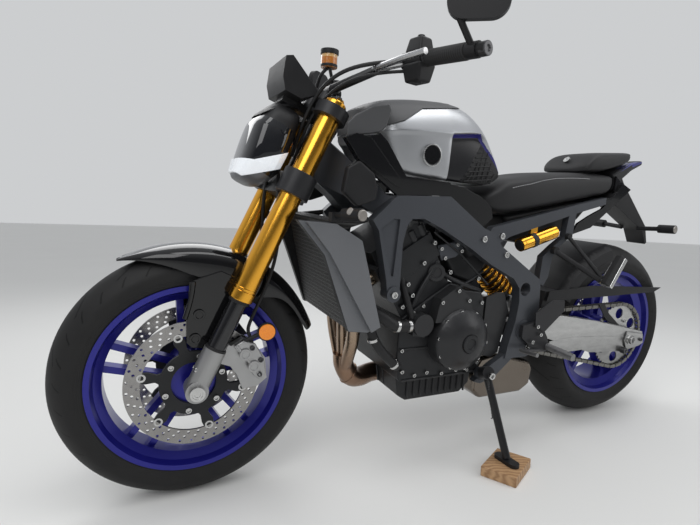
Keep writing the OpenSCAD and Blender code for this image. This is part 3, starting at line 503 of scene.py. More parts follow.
add(ribs, engine_black, "sump_ribs", "chassis", "engine_dark")
seams = [tube([(204, 130, 352), (60, 130, 352), (-74, 130, 352)], 3, 2, False),
    tube([(186, 130, 263), (-74, 130, 263)], 3.5, 2, False),
    tube([(-84, 123, 520), (30, 125, 612), (118, 125, 667)], 3, 2, False)]
starter = drum((96, 100, 560), (0.3, 1, 0), 24, 70, 5, hollow=14, sink=3)
coil = [drum((x, 108, z), (0.53, 0, 0.85), 13, 46, 3) for x, z in ((150, 668), (176, 650))]
add(seams + [starter] + coil, cover_black, "engine_trim", "chassis", "engine_dark")

add(plank([(102, 632), (36, 646), (12, 622), (40, 600), (86, 590)], 117, 123, 0.003, 3), gunmetal,
    "engine_mount_plate", "chassis", "frame_grey")
bolts("mount_bolts", [(92, 123, 624, side), (40, 123, 636, side), (78, 123, 598, side),
    (24, 123, 618, side)], 5.5, 6, bright_steel,
    "chassis", "bright_steel")
throats = [drum((-34 + 6 * k, y, 640), (0.6, 0, 0.8), 29, 86, 4, 28) for k, y in enumerate((-72, 0, 72))]
throats.append(tube([(-20, 100, 655), (-24, 0, 640), (-20, -100, 655)], 14, 4, False))
throats.append(tube([(96, 118, 570), (70, 126, 548), (30, 128, 530), (-30, 122, 512), (-64, 112, 500)], 7, 3))
throats.append(tube([(170, 126, 470), (150, 134, 530), (120, 130, 560), (96, 120, 590)], 6, 3))
throats.append(tube([(-64, 118, 560), (-30, 126, 540), (20, 130, 520), (60, 132, 500)], 4, 3))
box = plank([(58, 606), (-60, 664), (-112, 580), (-70, 512), (10, 536)], -84, 84, 0.012, 3)
add(throats + [box], engine_black, "throttle_bodies", "chassis", "engine_dark")
heads = [(x, 125.5, z, side) for x, z in ((192, 530), (176, 500), (148, 586), (60, 560), (-40, 540),
    (120, 640), (204, 470))]
bolts("block_bolts", heads, 5.8, 9, bright_steel, "chassis", "bright_steel")

# Water hoses. Moulded rubber between the radiator and the left of the engine, held by bright
# steel clips.
hose_rubber = Finish("hose_rubber", (0.012, 0.012, 0.013), 0.5, Specular_IOR_Level=0.3)
hose_rubber.worn((0.026, 0.026, 0.026), 30.0, 0.4)
lower_hose = tube([(298, 128, 432), (288, 132, 392), (262, 134, 356), (232, 134, 326), (205, 130, 306)], 13,
    5)
bypass = tube([(176, 140, 440), (190, 138, 480), (206, 128, 520), (206, 112, 556)], 8, 4)
add([lower_hose, bypass], hose_rubber, "water_hoses", "chassis", "matte_black")
clips = [drum(p, a, 17.2, 9, 0.8) for p, a in (((226, 146, 424), (1, 0, 0.2)), ((190, 146, 422), (1, 0, 0)))]
clips += [drum((216, 132, 314), (0.7, 0, 0.7), 14.4, 8, 0.8),
    drum((286, 132, 388), (0.3, 0, 1), 14.4, 8, 0.8)]
add(clips, bright_steel, "hose_clips", "chassis", "bright_steel")

# Exhaust. Three stainless headers, tinted bronze-brown by heat and darkest at the
# collector's elbow, with a silencer box under the pivot.
heat = Finish("heat_tinted_steel", (0.46, 0.36, 0.25), 0.26, 1.0)
warm = heat.node("ShaderNodeMapRange", {}, {0: heat.upright()[2], 1: 0.46, 2: 0.25, 3: 0.0, 4: 1.0})
blush = heat.noise(14, 4.0)
tint = heat.mix(warm, (0.45, 0.37, 0.27, 1), (0.30, 0.19, 0.12, 1))
heat.feed("Base Color", heat.mix(blush * 0.5, tint, (0.22, 0.15, 0.13, 1)))
heat.feed("Roughness", blush * 0.2 + 0.18)
dress("exhaust_pipes", heat, 0)
box_steel = Finish("silencer_steel", (0.20, 0.175, 0.15), 0.24, 1.0)
box_steel.worn((0.13, 0.105, 0.085), 12.0, 0.7, 0.16)
dress("silencer", box_steel, 0.012, 4)
add([tube([(277 + 32 * math.sin(a) * 0.62, -16 + 32 * math.cos(a), 240 + 32 * math.sin(a) * -0.78)
    for a in [math.radians(20 * k) for k in range(19)]], 2.2, 2)], heat, "collector_weld", "chassis",
    "exhaust_steel")

# Radiator. A black finned core behind the front wheel, between grey pressed side covers with
# black backs.
fins = Finish("radiator_fins", (0.03, 0.03, 0.03), 0.45, 0.5)
_, fy, fz = fins.upright()
fin = abs((fy * 420.0) % 1.0 - 0.5)
tubes = abs((fz * 95.0) % 1.0 - 0.5)
fins.feed("Base Color", fins.mix((tubes > 0.36) * 0.8, (0.012, 0.012, 0.012, 1), (0.07, 0.07, 0.07, 1)))
fins.bump(fin + tubes, 0.9, 0.002)
dress("radiator", (fins, hose_rubber), 0.004, 2, choose=lambda p, n: p.x < 336 or p.y > 149)
shroud_grey = Finish("shroud_grey", (0.15, 0.155, 0.166), 0.44, 0.5)
shroud_grey.worn((0.165, 0.17, 0.18), 5.0, 0.5)
shroud_grey.bump(shroud_grey.noise(2400, 2.0), 0.05, 0.0002)
matte_black = Finish("moulded_black", (0.0095, 0.0095, 0.0105), 0.48, Specular_IOR_Level=0.26)
matte_black.worn((0.026, 0.026, 0.027), 20.0, 0.5)
matte_black.bump(matte_black.noise(1800, 2.0), 0.12, 0.0003)
dress("radiator_shrouds", (shroud_grey, matte_black), 0.006, 3, choose=lambda p, n: abs(p.y) < 166)


# Fuel tank. Pressed steel in satin silver with a sharp crease along the side, a black recess with
# blue edging and a ribbed knee pad behind it, and a grey cover over the front.
def loft(rings, levels=2, crease=None):
    """A closed skin through rings of points in millimetres, rounded by subdivision."""
    count = len(rings[0])
    points = [Vector(p) / 1000 for ring in rings for p in ring]
    faces = []
    for i in range(len(rings) - 1):
        for j in range(count):
            k = (j + 1) % count
            faces.append((i * count + j, i * count + k, (i + 1) * count + k, (i + 1) * count + j))
    last = (len(rings) - 1) * count
    faces.append(tuple(range(count - 1, -1, -1)))
    faces.append(tuple(range(last, last + count)))
    mesh = bpy.data.meshes.new("loft")
    mesh.from_pydata(points, [], faces)
    piece = bpy.data.objects.new("loft", mesh)
    bpy.context.scene.collection.objects.link(piece)
    edit(piece, bpy.ops.mesh.normals_make_consistent, inside=False)
    if crease:
        sharp = mesh.attributes.new("crease_edge", "FLOAT", "EDGE")
        for edge in mesh.edges:
            a, b = edge.vertices
            sharp.data[edge.index].value = crease(a // count, a % count, b // count, b % count)
    apply(piece, "SUBSURF", levels=levels, render_levels=levels)
    return piece


def tank_ring(x, low, low_w, side_w, under_w, crease_w, crease_z, shoulder_w, shoulder_z, top_w, top_z):
    half = [(low_w - 12, low), (low_w, low + 6), (side_w, (low + crease_z) / 2), (under_w, crease_z - 12),
        (crease_w, crease_z), ((crease_w + shoulder_w) / 2 + 2, (crease_z + shoulder_z) / 2 + 3),
        (shoulder_w, shoulder_z), (top_w, top_z), (top_w * 0.4, top_z + 3)]
    narrow = 147 / 152
    return [(x, y * narrow, z) for y, z in half] + [(x, -y * narrow, z) for y, z in reversed(half)]


tank_rings = [tank_ring(*row) for row in (
    (318, 882, 92, 98, 100, 102, 908, 97, 938, 86, 966),
    (300, 868, 100, 108, 112, 114, 908, 105, 945, 92, 979),
    (278, 842, 124, 130, 134, 137, 911, 117, 954, 93, 987),
    (245, 806, 142, 146, 148, 150, 916, 121, 960, 92, 994),
    (180, 802, 145, 148, 150, 152, 919, 117, 976, 88, 1003),
    (104, 800, 145, 148, 150, 152, 922, 112, 988, 82, 1007),
    (98, 800, 126, 128, 130, 150, 923, 111, 989, 82, 1007),
    (40, 797, 118, 122, 124, 143, 931, 106, 986, 70, 1006),
    (0, 797, 112, 116, 117, 134, 935, 99, 972, 56, 1000),
    (-30, 798, 108, 110, 111, 122, 922, 92, 950, 49, 976),
    (-60, 796, 104, 107, 107, 110, 892, 86, 915, 45, 937),
    (-90, 806, 98, 101, 101, 100, 862, 84, 876, 40, 888),
    (-114, 820, 88, 90, 90, 88, 838, 76, 846, 36, 852))]


def tank_crease(i, j, m, n):
    along = i != m
    line = min(j, 17 - j)
    if along and line in (3, 4):
        return 0.85
    if not along and i in (5, 6) and max(min(j, 17 - j), min(n, 17 - n)) <= 4:
        return 0.9
    return 0.6 if i in (0, 12) and not along else 0.0


satin_silver = Finish("satin_silver_paint", (0.43, 0.44, 0.455), 0.36, 0.85, Coat_Weight=0.25,
    Coat_Roughness=0.25)
satin_silver.worn((0.39, 0.40, 0.42), 3.0, 0.5, 0.06)
satin_silver.bump(satin_silver.noise(4200, 1.0), 0.05, 0.0001)
cover_grey = Finish("cover_grey_paint", (0.055, 0.056, 0.059), 0.5, 0.1, Specular_IOR_Level=0.4)
cover_grey.worn((0.075, 0.076, 0.079), 5.0, 0.5)
cover_grey.bump(cover_grey.noise(3000, 2.0), 0.06, 0.0002)
recess = Finish("knee_recess", (0.012, 0.012, 0.014), 0.3, 0.0, Specular_IOR_Level=0.35)
kx, _, kz = recess.upright()
pad = ((kx - 0.045) * 0.874 + (kz - 0.793) * 0.486) < 0.0
ribs_up = abs(((kz - kx * 0.25) * 150.0) % 1.0 - 0.5) > 0.32
ribs_along = abs(((kx + kz * 0.2) * 60.0) % 1.0 - 0.5) > 0.1
ribs = ribs_up * ribs_along
fold = recess.node("ShaderNodeMath", {"operation": "MINIMUM"}, {0: 0.9353 - kx * 0.12, 1: 0.935 + kx * 0.75})
blue_edge = 1.0 - (1.0 - (kx > 0.0945)) * (1.0 - (kz > fold - 0.012))
recess.feed("Base Color", recess.mix(blue_edge, recess.mix(pad, (0.005, 0.005, 0.007, 1),
    (0.016, 0.016, 0.017, 1)),
    (0.022, 0.02, 0.15, 1)))
recess.feed("Roughness", pad * 0.36 + 0.2)
recess.bump(ribs * pad, 0.6, 0.0012)

cover_line = [(420, 904), (322, 908), (241, 938), (180, 976), (59, 994), (20, 1004), (20, 1060), (420, 1060)]
tank = loft(tank_rings, 3, tank_crease)
cover = twin(tank)
cut(tank, slab(cover_line, -300, 300))
edit(cover, bpy.ops.transform.shrink_fatten, value=0.0022)
cut(cover, slab([(x, z + 1.2) for x, z in cover_line], -300, 300), "INTERSECT")
for piece in (tank, cover):
    piece.data.transform(LEAN)
    soften(piece, 0.0012, 2, 50, 42)


def tank_face(p, n):
    across = abs((UPRIGHT.to_3x3() @ n).y)
    fold = min(935.3 - p.x * 0.12, 935 + p.x * 0.75)
    return 1 if p.x < 101 and p.z < fold - 3 and across > 0.4 and abs(p.y) > 60 else 0


add(tank, (satin_silver, recess), "fuel_tank_shell", "chassis", "tank_silver", "fuel_tank", choose=tank_face)
paint(cover, cover_grey)
wings = slab([(402, 881), (404, 912), (384, 932), (340, 956), (300, 966), (292, 952), (304, 912),
    (322, 898.6)], 149, 157)
bridge = [loft([[(x, s * y, z) for y, z in ((w - d, h - 6), (w - d * 0.8, h + 1), (w - 2, h - 5),
    (w, h - 16), (w - 3, h - 24))]
    for x, w, h, d in ((400, 158, 908, 8), (384, 158, 930, 8), (340, 158, 953, 8), (306, 156, 963, 8),
    (292, 150, 968, 12),
        (276, 126, 977, 30))], 2) for s in (1, -1)]
for piece in bridge:
    edit(piece, bpy.ops.mesh.normals_make_consistent, inside=False)
wing = twin(wings)
wing.data.transform(Matrix.Scale(-1, 4, (0, 1, 0)))
edit(wing, bpy.ops.mesh.normals_make_consistent, inside=False)
for piece in bridge + [wings, wing]:
    piece.data.transform(LEAN)
    soften(piece, 0.004 if piece in (wings, wing) else 0, 3)
    paint(piece, cover_grey)
cover = join([cover, wings, wing] + bridge)
fit(cover, "tank_cover", "chassis", "shroud_grey", "tank_nose")
ribs = []
side_at = ((98, 123), (40, 118), (0, 112.5), (-30, 107), (-60, 104), (-92, 97.5))


def tank_side(x):
    for (xa, ya), (xb, yb) in zip(side_at, side_at[1:]):
        if xb <= x <= xa:
            return ya + (yb - ya) * (xa - x) / (xa - xb)


for k in range(8):
    z = 806 + 13 * k
    start = 45 - 69 * (z - 793) / 124
    stop = -78 + max(0, z - 826) * 0.6
    for s in (1, -1):
        xs = [start - 4 - (start - stop - 8) * t / 5 for t in range(6)]
        ribs.append(tube([(x, s * (tank_side(x) - 0.3), z + (start - x) * 0.1) for x in xs], 1.8, 2))
for k in range(6):
    x = -70 + 18 * k
    high = min(905, 793 + (45 - x) * 124 / 69 - 8, 826 + (x + 78) * 1.6 - 6)
    for s in (1, -1):
        ribs.append(tube([(x - t * 4, s * (tank_side(x - t * 4) - 0.3), 806 + (high - 806) * t / 4)
            for t in range(5)], 1.5, 2))
add(ribs, hose_rubber, "knee_pad_ribs", "chassis", "rubber")
add(drum((60, 0, 1010), (0.05, 0, 1), 36, 12, 2, hollow=26, sink=2), black_steel, "fuel_cap", "chassis",
    "frame_grey")
gloss_black = Finish("gloss_black", (0.004, 0.004, 0.0045), 0.09, 0.0, Specular_IOR_Level=0.3,
    Coat_Weight=0.45, Coat_Roughness=0.03)
gloss_black.worn((0.008, 0.008, 0.0085), 8.0, 0.4, 0.06)
dress("tank_side_panels", gloss_black, 0.005, 3)
add([drum((163, s * 145.5, 862), (0, s, 0), 28, 7, 2, hollow=24, sink=1.5) for s in (1, -1)],
    (bright_steel, gloss_black), "plain_tank_discs", "chassis", "bright_steel",
    choose=lambda p, n: (p.x - 163) ** 2 + (p.z - 862) ** 2 < 24.4 ** 2)
dress("side_ducts", matte_black, 0.006, 3)


# Under-seat box. A black moulded tray between the rails which closes the space over the
# rear wheel under the seats.
add(plank([(-170, 715), (-470, 772), (-560, 776), (-500, 716), (-436, 676), (-380, 652), (-300, 628),
    (-212, 640)], -62, 62, 0.012, 3), matte_black, "under_seat_tray", "chassis", "matte_black")

# Seats. Moulded foam under grained black cover with grey stitching, the passenger's seat
# stepped up behind the rider's with a round lock button on its front.
def seat_ring(x, half, low, high, count=28, power=0.5):
    def bow(v):
        return math.copysign(abs(v) ** power, v)

    turns = [2 * math.pi * j / count for j in range(count)]
    return [(x, half * bow(math.cos(a)), (low + high) / 2 + (high - low) / 2 * bow(math.sin(a)))
        for a in turns]


leather = Finish("grained_seat_cover", (0.014, 0.014, 0.015), 0.55, 0.0, Specular_IOR_Level=0.3)
leather.worn((0.024, 0.024, 0.025), 10.0, 0.6, 0.14)
cells = leather.node("ShaderNodeTexVoronoi", {"feature": "DISTANCE_TO_EDGE"},
    {"Vector": leather.where(), "Scale": 420.0})
leather.bump(cells, 0.35, 0.0006)
seat_rows = ((-60, 84, 744, 768), (-92, 100, 727, 789), (-116, 106, 720, 806), (-132, 110, 719, 823),
    (-165, 114, 722, 831), (-215, 118, 732, 838), (-262, 118, 740, 849), (-320, 114, 750, 858),
    (-445, 106, 774, 867),
    (-552, 98, 794, 871), (-590, 96, 801, 870), (-612, 90, 836, 866))
rider = loft([seat_ring(*row) for row in seat_rows], 2)
rows = ((-468, 84, 868.2, 884), (-484, 94, 868.8, 908), (-510, 97, 869.9, 931), (-540, 98, 871.1, 938),
    (-583, 96, 880, 942), (-650, 82, 900, 948), (-755, 56, 931, 958))
passenger = loft([seat_ring(*row) for row in rows], 2)
for piece, name, node in ((rider, "rider_seat_pad", "rider_seat"),
        (passenger, "passenger_seat_pad", "passenger_seat")):
    piece.data.transform(LEAN)
    pick(piece)
    bpy.ops.object.shade_smooth()
    paint(piece, leather)
    fit(piece, name, "chassis", "seat_cover", node)
thread = Finish("grey_stitching", (0.34, 0.34, 0.35), 0.7)
thread.worn((0.22, 0.22, 0.22), 200.0, 0.5)


def on_seat(x, turn, rows):
    """A point on a seat's side at x, by the turn around its section."""
    for (xa, *a), (xb, *b) in zip(rows, rows[1:]):
        if xb <= x <= xa:
            share = (xa - x) / (xa - xb)
            half, low, high = (p + (q - p) * share for p, q in zip(a, b))
            c, s = math.cos(turn), math.sin(turn)
            return Vector((x, half * math.sqrt(c) + 0.2,
                (low + high) / 2 + (high - low) / 2 * math.sqrt(s) - 0.4))


stitches = []
for k in range(40):
    xa, xb = -150 - 8.2 * k, -155 - 8.2 * k
    turn = math.radians(14 + 10 * math.sin(math.radians(4.2 * k)))
    for s in (1, -1):
        a, b = on_seat(xa, turn, seat_rows), on_seat(xb, turn, seat_rows)
        stitches.append(tube([(a.x, s * a.y, a.z), (b.x, s * b.y, b.z)], 1.1, 1, False))
add(stitches, thread, "seat_stitching", "chassis", "seat_cover")
add(drum((-486, 0, 909), (0.78, 0, 0.62), 11, 14, 2, hollow=6, sink=1), bright_steel, "seat_lock_button",
    "chassis", "bright_steel")

# Tail. A black moulded cowl with gloss blades down to the subframe and blue inlays, a thin red lamp
# at the tip, and the plate carrier with its indicators.
deep_blue = Finish("deep_blue_paint", (0.014, 0.014, 0.24), 0.30, 0.5, Coat_Weight=0.3, Coat_Roughness=0.15)
deep_blue.worn((0.010, 0.010, 0.17), 9.0, 0.6, 0.08)
deep_blue.bump(deep_blue.noise(3800, 1.0), 0.05, 0.0001)


def tail_face(p, n):
    """Gloss on the blades and blue on the inlays."""
    if p.z < 862 and abs(p.y) > 83:
        return 1
    return 2 if -830 < p.x < -700 and 896 < p.z < 926 and abs(p.y) > 40 else 0


dress("tail_cowl", (matte_black, gloss_black, deep_blue), 0.002, 2, choose=tail_face)
red_lens = Finish("red_lamp_lens", (0.35, 0.01, 0.012), 0.12, 0.0, Coat_Weight=1.0)
red_lens.worn((0.20, 0.005, 0.006), 90.0, 0.7)
dress("tail_lamp", red_lens, 0.002)
dress("plate_carrier", matte_black, 0.002)
smoke_lens = Finish("smoked_lamp_lens", (0.30, 0.28, 0.26), 0.12, 0.2, Coat_Weight=1.0)
smoke_lens.worn((0.16, 0.14, 0.12), 120.0, 0.8)
lens = []
for s in (1, -1):
    lens.append(drum((-868.2, s * 158, 700), (-0.03, s, 0.04), 12.5, 8, 2.5, 24))
    lens.append(drum((403, s * 258.5, 711), (-0.29, s * 0.95, 0.05), 12.6, 8, 2.5, 24))
    lens.append(drum((418, s * 236, 715), (0.8, s * 0.3, 0.5), 9, 16, 3, 24))
add(lens, smoke_lens, "indicator_lenses", "chassis", "clear_lens")
dress("front_indicators", matte_black, 0.003)

# Swingarm, shock and hugger. Two brushed alloy arms with raised flanks, the gold gas reservoir
# and spring of the shock, and a black hugger with a long chain guard.
brushed = Finish("brushed_alloy", (0.72, 0.72, 0.72), 0.30, 1.0)
grain = brushed.noise(140, 4.0, (1, 12, 12))
brushed.feed("Roughness", grain * 0.22 + 0.20)
cloud = brushed.noise(26, 3.0, (1, 2, 3))
# The alloy's colour is painted lighter towards the top of the arms and darker below: painted light from
# above, mixed with random tone and the brushed grain.
painted_light_from_above = brushed.node("ShaderNodeMapRange", {}, {0: brushed.upright()[2], 1: 0.27, 2: 0.37, 3: 0.0, 4: 1.0})
tone_and_painted_light = painted_light_from_above * 0.55 + cloud * 0.5 + grain * 0.25 - 0.15
brushed.feed("Base Color", brushed.mix(tone_and_painted_light, (0.20, 0.20, 0.20, 1), (0.56, 0.56, 0.555, 1)))
brushed.bump(grain, 0.12, 0.0004)
dress("swingarm", brushed, 0.006, 3)
dress("rear_axle", bright_steel, 0.002)
reliefs = []
for s in (1, -1):
    relief = plank([(-330, 338), (-430, 344), (-560, 338), (-640, 330), (-640, 312), (-540, 298),
        (-430, 296), (-340, 306)],
        s * 151.6, s * 153.6, 0.0014, 2)
    reliefs.append(relief)
add(reliefs, brushed, "swingarm_reliefs", "chassis", "swingarm_silver")
dress("rear_hugger", matte_black, 0.0015)
dress("rear_caliper", black_steel, 0.003)
gold = Finish("gold_anodised", (0.90, 0.45, 0.055), 0.22, 1.0)
gold.worn((0.76, 0.36, 0.04), 12.0, 0.5, 0.07)
gold.bump(gold.noise(900, 2.0, (6, 6, 1)), 0.006, 0.0001)
dress("rear_shock", (gold, black_steel), 0.003, 2, choose=lambda p, n: 0 if p.y > 90 else 1)
low, high = Vector((-288, 0, 437)), Vector((-112, 0, 600))
way = (high - low).normalized()
aside = Vector((0, 1, 0))
third = way.cross(aside)
add(tube([low + way * (44 + 1.5 * k) + (aside * math.cos(0.42 * k) + third * math.sin(0.42 * k)) * 37
    for k in range(96)], 5.5, 3), gold, "shock_spring", "chassis", "gold_anodised")
foot, run = Vector((-200, 112, 634)), Vector((-136, 0, 42)).normalized()
add([drum(foot + run * d, run, 20.7, w, 2, sides=72) for d, w in ((26, 34), (99.5, 79))], gold,
    "reservoir_sleeves", "chassis", "gold_anodised")
bands = [drum(foot + run * d, run, r, w, 1.5, sides=56)
    for d, r, w in ((52, 22, 16), (1, 16, 7), (140, 18, 6))]
add(bands, black_rail, "reservoir_bands", "chassis", "matte_black")
blocks = []
for s in (1, -1):
    blocks.append(plank([(-700, 344), (-786, 330), (-794, 296), (-776, 288), (-704, 284), (-690, 312)],
        s * 152.2, s * 158, 0.002))
add(blocks, brushed, "axle_blocks", "chassis", "swingarm_silver")
add(plank([(-584, 436), (-612, 438), (-642, 402), (-706, 356), (-694, 342), (-628, 382)], 116.6, 120.6,
    0.0015, 2), matte_black, "chain_guard_arm", "chassis", "matte_black")
bolts("heel_plate_bolts", pairs([(-246, 173, 398, side), (-262, 173, 372, side), (-232, 173, 352, side)]),
    6, 6, bright_steel,
    "chassis", "bright_steel")
REAR_AXLE = (-715, 315)
bolts("rear_axle_nuts", pairs([(REAR_AXLE[0], 163, REAR_AXLE[1], side)]), 15, 10, brushed, "chassis",
    "bright_steel")
bolts("chain_adjusters", pairs([(-774, 157.5, 310, side)]), 6, 6, black_steel, "chassis", "matte_black")
add([drum((-690, s * 160, 278), (0, s, 0), 11, 18, 3, hollow=5, sink=4) for s in (1, -1)], black_steel,
    "stand_bobbins", "chassis", "matte_black")

# Footrests. Cast hangers with pressed heel plates for the rider, and tube brackets with ribbed
# pegs behind rubber plates with a bright edge for the passenger.
clamp_black = sand_cast(Finish("clamp_black", (0.02, 0.02, 0.022), 0.42, 0.3, Specular_IOR_Level=0.35), 800)
clamp_black.worn((0.034, 0.034, 0.036), 20.0, 0.5)
peg_alloy = sand_cast(Finish("peg_alloy", (0.20, 0.20, 0.205), 0.4, 0.85), 900)
peg_alloy.worn((0.3, 0.3, 0.3), 30.0, 0.5)
dress("rider_pegs", (clamp_black, peg_alloy), 0.002, 2, choose=lambda p, n: abs(p.y) > 178)
dress("passenger_pegs", (matte_black, bright_steel), 0.002, 2, choose=lambda p, n: abs(p.y) > 226)
rests = []
for low, high, y, finish in ((-5, 15, 253, hose_rubber), (-17, -4, 256, bright_steel)):
    for s in (1, -1):
        foot, tip = Vector((-426, 532)), Vector((-478, 618))
        ahead = Vector((0.857, 0.514))
        corners = [foot + ahead * low, tip + ahead * low, tip + ahead * high * 0.8, foot + ahead * high]
        rest = plank([tuple(corner) for corner in corners], s * 233, s * y, 0.003, 3)
        paint(rest, finish)
        rests.append(rest)
fit(join(rests), "passenger_peg_plates", "chassis", "bright_steel")
grooves = [drum((-426 - 48 * t, s * (232 + 8 * t), 532 + 80 * t), (-0.51, s * 0.085, 0.855), 12, 4, 1)
    for t in (0.12, 0.28, 0.44, 0.6, 0.76) for s in (1, -1)]
grooves += [drum((-308 - 12 * t, s * (168 + 84 * t), 330 - 8 * t), (-0.13, s, -0.09), 11.2, 6, 1.5)
    for t in (0.5, 0.65, 0.8) for s in (1, -1)]
add(grooves, peg_alloy, "peg_ribs", "chassis", "bright_steel")


# Chain and sprocket. A roller chain of pressed side plates and pins around two sprockets, dull grey
# with lubricant, modelled as one link that is copied along the loop.
chain_steel = Finish("chain_steel", (0.24, 0.235, 0.22), 0.38, 1.0)
chain_steel.worn((0.10, 0.095, 0.085), 80.0, 0.8, 0.2)


def chain_path(count):
    """Places and directions of the rollers around both sprockets."""
    a, b, ra, rb = Vector((-128, 0, 380)), Vector((REAR_AXLE[0], 0, REAR_AXLE[1])), 40.7, 113.8
    d = (b - a).length
    turn = math.atan2(b.z - a.z, b.x - a.x)
    c = math.acos((ra - rb) / d)
    spots = [a + Vector((math.cos(t), 0, math.sin(t))) * ra for t in
        [turn + c + (2 * math.pi - 2 * c) * k / 60 for k in range(61)]]
    spots += [b + Vector((math.cos(t), 0, math.sin(t))) * rb for t in
        [turn - c + 2 * c * k / 120 for k in range(121)]]
    spots.append(spots[0])
    total = sum((q - p).length for p, q in zip(spots, spots[1:]))
    step, out, walked, want = total / count, [], 0.0, 0.0
    for p, q in zip(spots, spots[1:]):
        while want <= walked + (q - p).length and len(out) < count:
            out.append(p + (q - p) * ((want - walked) / (q - p).length))
            want += step
        walked += (q - p).length
    return out


bpy.ops.mesh.primitive_circle_add(vertices=14, radius=0.0068, fill_type="NGON")
plate = bpy.context.object
for spot in plate.data.vertices:
    spot.co.x += math.copysign(0.0079, spot.co.x)
    spot.co.y *= 1.0 if abs(spot.co.x) > 0.0085 else 0.72
edit(plate, bpy.ops.mesh.extrude_region_move, TRANSFORM_OT_translate={"value": (0, 0, 0.002)})
edit(plate, bpy.ops.mesh.normals_make_consistent, inside=False)
bpy.ops.mesh.primitive_cylinder_add(vertices=10, radius=0.0042, depth=0.0212)
pin = bpy.context.object
soften(pin, 0.0008, 1)
rollers = chain_path(106)
links = []
for k, spot in enumerate(rollers):
    ahead_spot = rollers[(k + 1) % len(rollers)]
    tilt = math.atan2(ahead_spot.z - spot.z, ahead_spot.x - spot.x)
    middle = (spot + ahead_spot) / 2000
    out = 0.0088 if k % 2 else 0.0062
    for offset in (out, -out - 0.002):
        link = twin(plate)
        link.data.transform(LEAN @ Matrix.Translation((middle.x, 0.106 + offset + 0.002, middle.z))
            @ Matrix.Rotation(-tilt, 4, "Y") @ Matrix.Rotation(math.pi / 2, 4, "X"))
        links.append(link)
    roller = twin(pin)
    roller.data.transform(LEAN @ Matrix.Translation((spot.x / 1000, 0.106, spot.z / 1000))
        @ Matrix.Rotation(math.pi / 2, 4, "X"))
    links.append(roller)
chain = join(links)
bpy.data.objects.remove(plate)
bpy.data.objects.remove(pin)
add(chain, chain_steel, "roller_chain", "chassis", "bright_steel", "drive_chain")
tooth_count = 45
tooth = ((0.02, 107.2), (0.28, 112.6), (0.44, 112.6), (0.70, 107.2))
teeth = [polar(REAR_AXLE, r, 2 * math.pi * (k + t) / tooth_count)
    for k in range(tooth_count) for t, r in tooth]
gear = slab(teeth, 103.5, 108.5)
holes = []
for a in around(6, 30):
    x, z = polar(REAR_AXLE, 79, a)
    bpy.ops.mesh.primitive_cylinder_add(vertices=24, radius=0.019, depth=0.05, rotation=(math.pi / 2, 0, 0),
        location=(x / 1000, 0.106, z / 1000))
    holes.append(bpy.context.object)
cut(gear, join(holes))
gear.data.transform(LEAN)
soften(gear, 0.0006, 1)
add(gear, brushed, "toothed_sprocket", "rear_wheel", "bright_steel", "rear_sprocket")
bolts("sprocket_nuts", [(x, 108, z, side) for x, z in (polar(REAR_AXLE, 60, a) for a in around(6))], 7, 8,
    bright_steel, "rear_wheel", "bright_steel")

# Wheels. Ten-spoke cast alloy rims in deep blue, and broad road tyres with a sparse pattern of curved
# grooves over the crown and fine moulding rings on the walls.
def tyre(name, centre, half_width):
    made = Finish(name, (0.0085, 0.0085, 0.009), 0.6, Specular_IOR_Level=0.24)
    x, y, z = made.upright(centre)
    angle = made.node("ShaderNodeMath", {"operation": "ARCTAN2"}, {0: z, 1: x}) / (2 * math.pi)
    far = (x * x + z * z) ** 0.5
    across = abs(y) / half_width
    hand = (y > 0.0) * 0.5
    slash = abs((angle * 16.0 + across * across * 1.1 + hand) % 1.0 - 0.5)
    short = abs((angle * 32.0 + across * 1.6 + hand + 0.5) % 1.0 - 0.5)
    groove = (slash < 0.035) * (across > 0.10) * (across < 0.66)
    groove = groove + (short < 0.04) * (across > 0.70) * (across < 0.9)
    groove = groove * (far > 0.245)
    rings = abs((far * 260.0) % 1.0 - 0.5) * (far < 0.243) * (far > 0.228)
    dust = made.noise(26, 5.0)
    # The grooves are painted near black in the base colour: painted shade in the grooves, over the real dust
    # tone of the rubber.
    made.feed("Base Color", made.mix(groove, made.mix(dust * 0.7, (0.011, 0.011, 0.0115, 1),
        (0.022, 0.0215, 0.021, 1)),
        (0.004, 0.004, 0.004, 1)))
    made.feed("Roughness", dust * 0.2 + 0.5)
    return made.bump(rings * 0.3 - groove, 0.8, 0.003)


FRONT_AXLE = (715, 300)
front_hub, rear_hub = ((x / 1000, 0, z / 1000) for x, z in (FRONT_AXLE, REAR_AXLE))
front_rubber = tyre("front_tyre_rubber", front_hub, 0.060)
rear_rubber = tyre("rear_tyre_rubber", rear_hub, 0.090)
dress("front_tyre", front_rubber, 0, smooth=60)
dress("rear_tyre", rear_rubber, 0, smooth=60)
dress("front_rim", deep_blue, 0.003, 2)
dress("rear_rim", deep_blue, 0.003, 2)

# Brake discs. Ground steel rings, drilled in three rows, floating on black carriers with bright
# bobbins at the front and bolted straight to the hub at the back.
ground = Finish("ground_disc_steel", (0.46, 0.455, 0.45), 0.26, 1.0)
gx, _, gz = ground.upright(front_hub)
turning = (abs((((gx * gx + gz * gz) ** 0.5) * 900.0) % 1.0 - 0.5) + ground.noise(60, 4.0)) * 0.5
ground.feed("Base Color", ground.mix(turning, (0.37, 0.36, 0.35, 1), (0.22, 0.215, 0.21, 1)))
ground.feed("Roughness", turning * 0.25 + 0.16)


